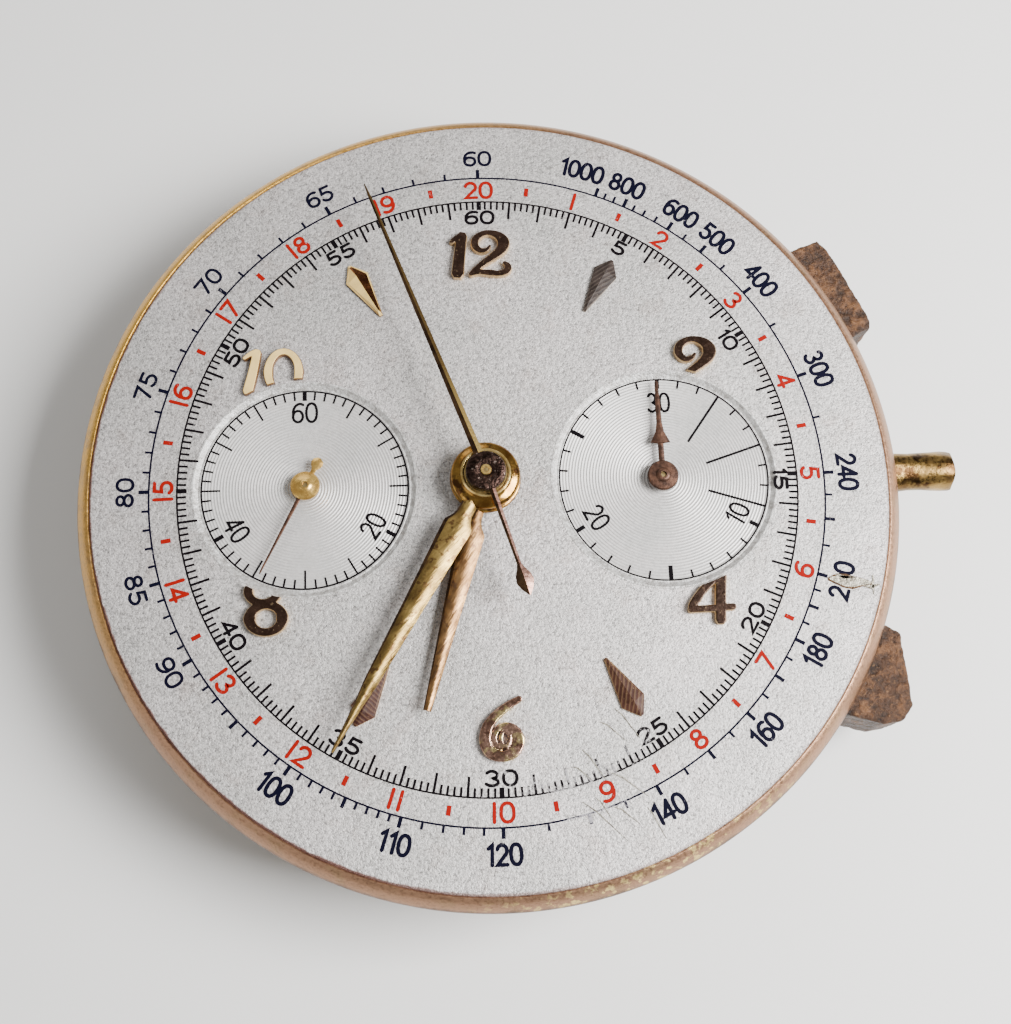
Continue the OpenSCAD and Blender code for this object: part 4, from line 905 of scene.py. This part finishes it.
# ---- wear on the dial: the gouge at 4 and a few fine scratches ----
scar = Solid()
for x0, y0, x1, y1, w in ((13.75, -3.62, 15.35, -3.86, 0.46), (13.95, -3.48, 14.75, -3.60, 0.12),
                          (15.1, -4.0, 15.75, -3.95, 0.16),
                          (15.5, -3.55, 15.45, -4.35, 0.09)):
    pts = [(x0 + 0.45 + (x1 - x0) * t + 0.03 * math.sin(9 * t),
            y0 - 1.0 + (y1 - y0) * t + 0.03 * math.cos(7 * t)) for t in (0, 0.2, 0.4, 0.6, 0.8, 1)]
    scar.ribbon(pts, [w * q for q in (0.3, 0.8, 1, 0.95, 0.6, 0.2)], DIAL_T - 0.01, DIAL_T + 0.035)
for i in range(9):
    x, y = PX + 3.2 + rng.uniform(-0.5, 2.6), -11.2 + rng.uniform(-2.6, 1.8)
    a, ln = math.radians(rng.uniform(-30, -65)), rng.uniform(0.8, 2.6)
    pts = [(x + ln * t * math.cos(a), y + ln * t * math.sin(a) + 0.08 * math.sin(5 * t)) for t in (0, 0.3, 0.6, 1)]
    scar.ribbon(pts, [0.02, 0.05, 0.04, 0.015], DIAL_T - 0.01, DIAL_T + 0.016)
add_object("dial_scars", scar.v, scar.f, "movement", M["scar"], smooth=False)
gouge = Solid()
gouge.ribbon([(14.15 + 1.75 * t, -4.62 - 0.27 * t + 0.04 * math.sin(9 * t))
              for t in (0, 0.15, 0.35, 0.55, 0.75, 0.9, 1)],
             [0.20, 0.46, 0.60, 0.56, 0.36, 0.20, 0.10], DIAL_T - 0.01, DIAL_T + 0.018)
add_object("gouge_edge", gouge.v, gouge.f, "movement", M["shade"], smooth=False)

# ---- hands; their dark flanks are painted shade ----
hz = 0.86
rows = [(0.9, 0.30, 0.30), (1.8, 0.27, 0.27), (2.05, 0.34, 0.34), (2.38, 0.54, 0.54), (2.55, 0.55, 0.55)]
rows += [(2.55 + t * 7.35, 0.55 - 0.39 * t, 0.55 - 0.39 * t) for t in (0.2, 0.4, 0.6, 0.8, 0.99, 1.0)]
# painted shade: one outer strip and its wall on the hour hand take the dark flank material
hour = blade("hour_blade", rows, 195.6, (0, 0), hz, 0.05, 0.16, "hour_hand", M["hour"],
             flank=(M["shade"], -1))
lathe("hour_boss", [(0.87, 0.80), (1.38, 0.80), (1.46, 0.86), (1.48, 0.96), (1.44, 1.05), (1.33, 1.10),
                    (1.22, 1.07), (1.05, 1.06), (0.92, 1.10), (0.87, 1.08)],
      (0, 0), "hour_hand", M["boss"])
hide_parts("hour_hand")

mz = 1.34
rows = [(0.9, 0.34, 0.34), (1.5, 0.33, 0.33), (1.85, 0.34, 0.34), (2.08, 0.42, 0.42), (2.38, 0.61, 0.61),
        (2.55, 0.62, 0.62), (3.7, 0.56, 0.56),
        (5.5, 0.47, 0.47), (7.35, 0.39, 0.39), (9.0, 0.32, 0.32), (9.8, 0.28, 0.28), (10.5, 0.20, 0.20),
        (11.7, 0.12, 0.12),
        (12.7, 0.065, 0.065), (12.8, 0.03, 0.03)]
# painted shade: one outer strip and its wall on the minute hand take the dark flank material
minute = blade("minute_blade", rows, 210, (0, 0), mz, 0.05, 0.20, "minute_hand", M["hand"],
               flank=(M["shade"], -1))
lathe("minute_boss", [(0.57, 1.26), (1.34, 1.26), (1.42, 1.31), (1.44, 1.40), (1.41, 1.49), (1.31, 1.57),
                      (1.16, 1.62), (1.06, 1.66), (1.02, 1.72),
                      (0.98, 1.76), (0.57, 1.76)], (0, 0), "minute_hand", M["boss"])
lathe("minute_collet", [(0.57, 1.74), (1.01, 1.74), (1.05, 1.78), (1.04, 1.85), (0.99, 1.885), (0.93, 1.88),
                        (0.88, 1.84), (0.57, 1.84)],
      (0, 0), "minute_hand", M["collet"])
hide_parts("minute_hand")

cz = 2.06
rows = [(0.5, 0.20, 0.20), (1.2, 0.19, 0.19), (7.0, 0.135, 0.135), (13.2, 0.07, 0.07), (13.9, 0.025, 0.025)]
# painted shade: the left facets and wall of the chronograph hand take the dark flank material
sweep_hand = blade("chronograph_blade", rows, 340, (0, 0), cz, 0.03, 0.13, "chronograph_runner", M["sweep"],
                   ridge=True, across=4, face=15, flank=(M["shade"], 2))
rows = [(0.5, 0.13, 0.13), (4.1, 0.09, 0.09), (4.3, 0.16, 0.16), (4.6, 0.32, 0.32), (4.88, 0.36, 0.36),
        (5.15, 0.25, 0.25),
        (5.38, 0.09, 0.09), (5.46, 0.02, 0.02)]
# painted shade: the tail's facets and wall on one side take the dark flank material
blade("chronograph_tail", rows, 163.2, (0, 0), cz, 0.03, 0.10, "chronograph_runner", M["leaf"],
      ridge=True, across=4, face=15, flank=(M["shade"], -2))
lathe("chronograph_boss", [(0.115, 1.92), (0.79, 1.92), (0.83, 1.97), (0.835, 2.10), (0.80, 2.18), (0.66, 2.225),
                           (0.40, 2.235), (0.30, 2.20), (0.20, 2.20),
                           (0.115, 2.20)], (0, 0), "chronograph_runner", M["arbor"])
lathe("chronograph_pipe", [(0.115, 2.18), (0.21, 2.18), (0.23, 2.23), (0.21, 2.275), (0.14, 2.28), (0.115, 2.25)],
      (0, 0),
      "chronograph_runner", M["sweep"], 48)
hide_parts("chronograph_seconds_hand")

sz = 0.62
rows = [(0.5, 0.09, 0.09), (2.0, 0.065, 0.065), (4.05, 0.035, 0.035), (4.15, 0.01, 0.01)]
seconds = blade("running_seconds_blade", rows, 207, (-REG, 0), sz, 0.03, 0.06, "fourth_wheel", M["brown"],
                across=4)
rows = [(0.5, 0.09, 0.09), (0.80, 0.11, 0.11), (0.92, 0.20, 0.20), (1.08, 0.26, 0.26), (1.24, 0.21, 0.21),
        (1.34, 0.06, 0.06)]
blade("running_seconds_tail", rows, 27, (-REG, 0), sz, 0.03, 0.05, "fourth_wheel", M["gold"], across=4)
lathe("running_seconds_boss", [(0.125, 0.58), (0.57, 0.58), (0.61, 0.62), (0.61, 0.72), (0.56, 0.77),
                               (0.30, 0.80), (0.22, 0.84), (0.19, 0.86), (0.125, 0.86)],
      (-REG, 0), "fourth_wheel", M["gold"], 64)
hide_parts("sub_seconds_hand")

rows = [(0.5, 0.13, 0.13), (1.42, 0.12, 0.12), (1.46, 0.42, 0.42), (1.62, 0.34, 0.34), (1.95, 0.18, 0.18),
        (2.35, 0.12, 0.12), (4.15, 0.075, 0.075), (4.25, 0.02, 0.02)]
recorder = blade("recorder_blade", rows, 0, (REG, 0), sz, 0.03, 0.06, "minute_recorder", M["brown"],
                 across=4)
lathe("recorder_boss", [(0.125, 0.58), (0.60, 0.58), (0.65, 0.62), (0.65, 0.72), (0.60, 0.77), (0.32, 0.79),
                        (0.26, 0.86), (0.20, 0.88), (0.125, 0.88)],
      (REG, 0), "minute_recorder", M["brown"], 64)
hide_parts("recorder_hand")

# ---- sleeve: a dented tube, open at its end ----
SX0, SY, SZ = 16.75, 0.5, -1.6
outer = [(SX0, 0.66), (16.8, 0.68), (17.58, 0.68), (17.64, 0.80), (17.70, 0.85), (18.1, 0.84), (18.6, 0.81),
         (19.2, 0.82), (19.7, 0.85), (20.1, 0.875), (20.35, 0.87),
         (20.47, 0.83), (20.5, 0.76), (20.46, 0.67), (20.3, 0.61), (20.05, 0.58), (19.98, 0.46), (SX0, 0.46)]
v, f = [], []
RN = 72
for i, (x, r) in enumerate(outer):
    for j in range(RN):
        a = 2 * math.pi * j / RN
        q = r
        if r > 0.7:
            q -= 0.045 * math.exp(-((x - 18.4) / 0.5) ** 2 - ((a - 1.9) / 0.5) ** 2)
            q -= 0.06 * math.exp(-((x - 20.3) / 0.22) ** 2 - ((a - 0.6) / 0.35) ** 2)
            q += 0.012 * math.sin(3 * a + 2 * x) + 0.008 * math.sin(7 * a - 5 * x)
        v.append((x + (0.03 * math.sin(4 * a) if x > 20.2 and r > 0.6 else 0), SY + q * math.cos(a),
                  SZ + q * math.sin(a)))
for i in range(len(outer)):
    k = (i + 1) % len(outer)
    for j in range(RN):
        m = (j + 1) % RN
        f.append((i * RN + j, i * RN + m, k * RN + m, k * RN + j))
tube = add_object("worn_sleeve", v, f, "winding_stem", M["sleeve"], angle=40)
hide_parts("stem_sleeve")

# ---- soften the CAD pieces' edges; eat away the rusted levers ----
for name in ("main_plate", "barrel_bridge", "train_bridge", "balance_cock", "chronograph_bridge", "pallet_cock"):
    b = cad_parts[name].modifiers.new("edge", "BEVEL")
    b.width = 0.05 * MM
    b.segments = 2
    b.limit_method = "ANGLE"
    b.angle_limit = math.radians(50)
    b.harden_normals = True
pits = bpy.data.textures.new("pits", "CLOUDS")
pits.noise_scale = 0.45 * MM
pits.noise_depth = 4
for name in ("operating_lever", "reset_lever"):
    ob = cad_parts[name]
    b = ob.modifiers.new("edge", "BEVEL")
    b.width = 0.10 * MM
    b.segments = 2
    b.limit_method = "ANGLE"
    b.angle_limit = math.radians(25)
    r = ob.modifiers.new("skin", "REMESH")
    r.mode = "VOXEL"
    r.voxel_size = 0.07 * MM
    r.use_smooth_shade = True
    d = ob.modifiers.new("rust", "DISPLACE")
    d.texture = pits
    d.texture_coords = "LOCAL"
    d.strength = 0.11 * MM
    d.mid_level = 0.62

# ---- floor, light, camera ----
floor_me = bpy.data.meshes.new("floor")
s = 0.6
floor_me.from_pydata([(-s, -s, 0), (s, -s, 0), (s, s, 0), (-s, s, 0)], [], [(0, 1, 2, 3)])
floor = bpy.data.objects.new("floor", floor_me)
floor.location.z = cad_lo.z
bpy.context.scene.collection.objects.link(floor)
fm = Nodes("pale_floor")
fm.out((0.80, 0.79, 0.77), 0.75, 0.0)
floor_me.materials.append(fm.m)


def lamp(name, loc, power, size, target=(0, 0, 0)):
    d = bpy.data.lights.new(name, "AREA")
    d.energy = power
    d.size = size * MM
    ob = bpy.data.objects.new(name, d)
    ob.location = [x * MM for x in loc]
    ob.rotation_mode = "QUATERNION"
    ob.rotation_quaternion = (Vector(target) * MM - ob.location).to_track_quat("-Z", "Y")
    bpy.context.scene.collection.objects.link(ob)
    return ob


lamp("key", (85, -14, 88), 0.52, 70)
lamp("fill", (-40, 150, 110), 0.07, 110)
lamp("low", (-150, -90, 80), 0.05, 120)
world = bpy.data.worlds.new("studio")
world.use_nodes = True
world.node_tree.nodes["Background"].inputs[0].default_value = (1.0, 0.99, 0.97, 1)
world.node_tree.nodes["Background"].inputs[1].default_value = 0.32
bpy.context.scene.world = world

cam_data = bpy.data.cameras.new("camera")
cam = bpy.data.objects.new("camera", cam_data)
cam.location = (-1.75 * MM, -16.69 * MM, 56.14 * MM)
cam.rotation_euler = [math.radians(a) for a in (15.5, -1.977, -2.347)]
cam_data.lens = 48.8
cam_data.sensor_width = 36
cam_data.clip_start = 0.002
cam_data.clip_end = 5
bpy.context.scene.collection.objects.link(cam)
bpy.context.scene.camera = cam
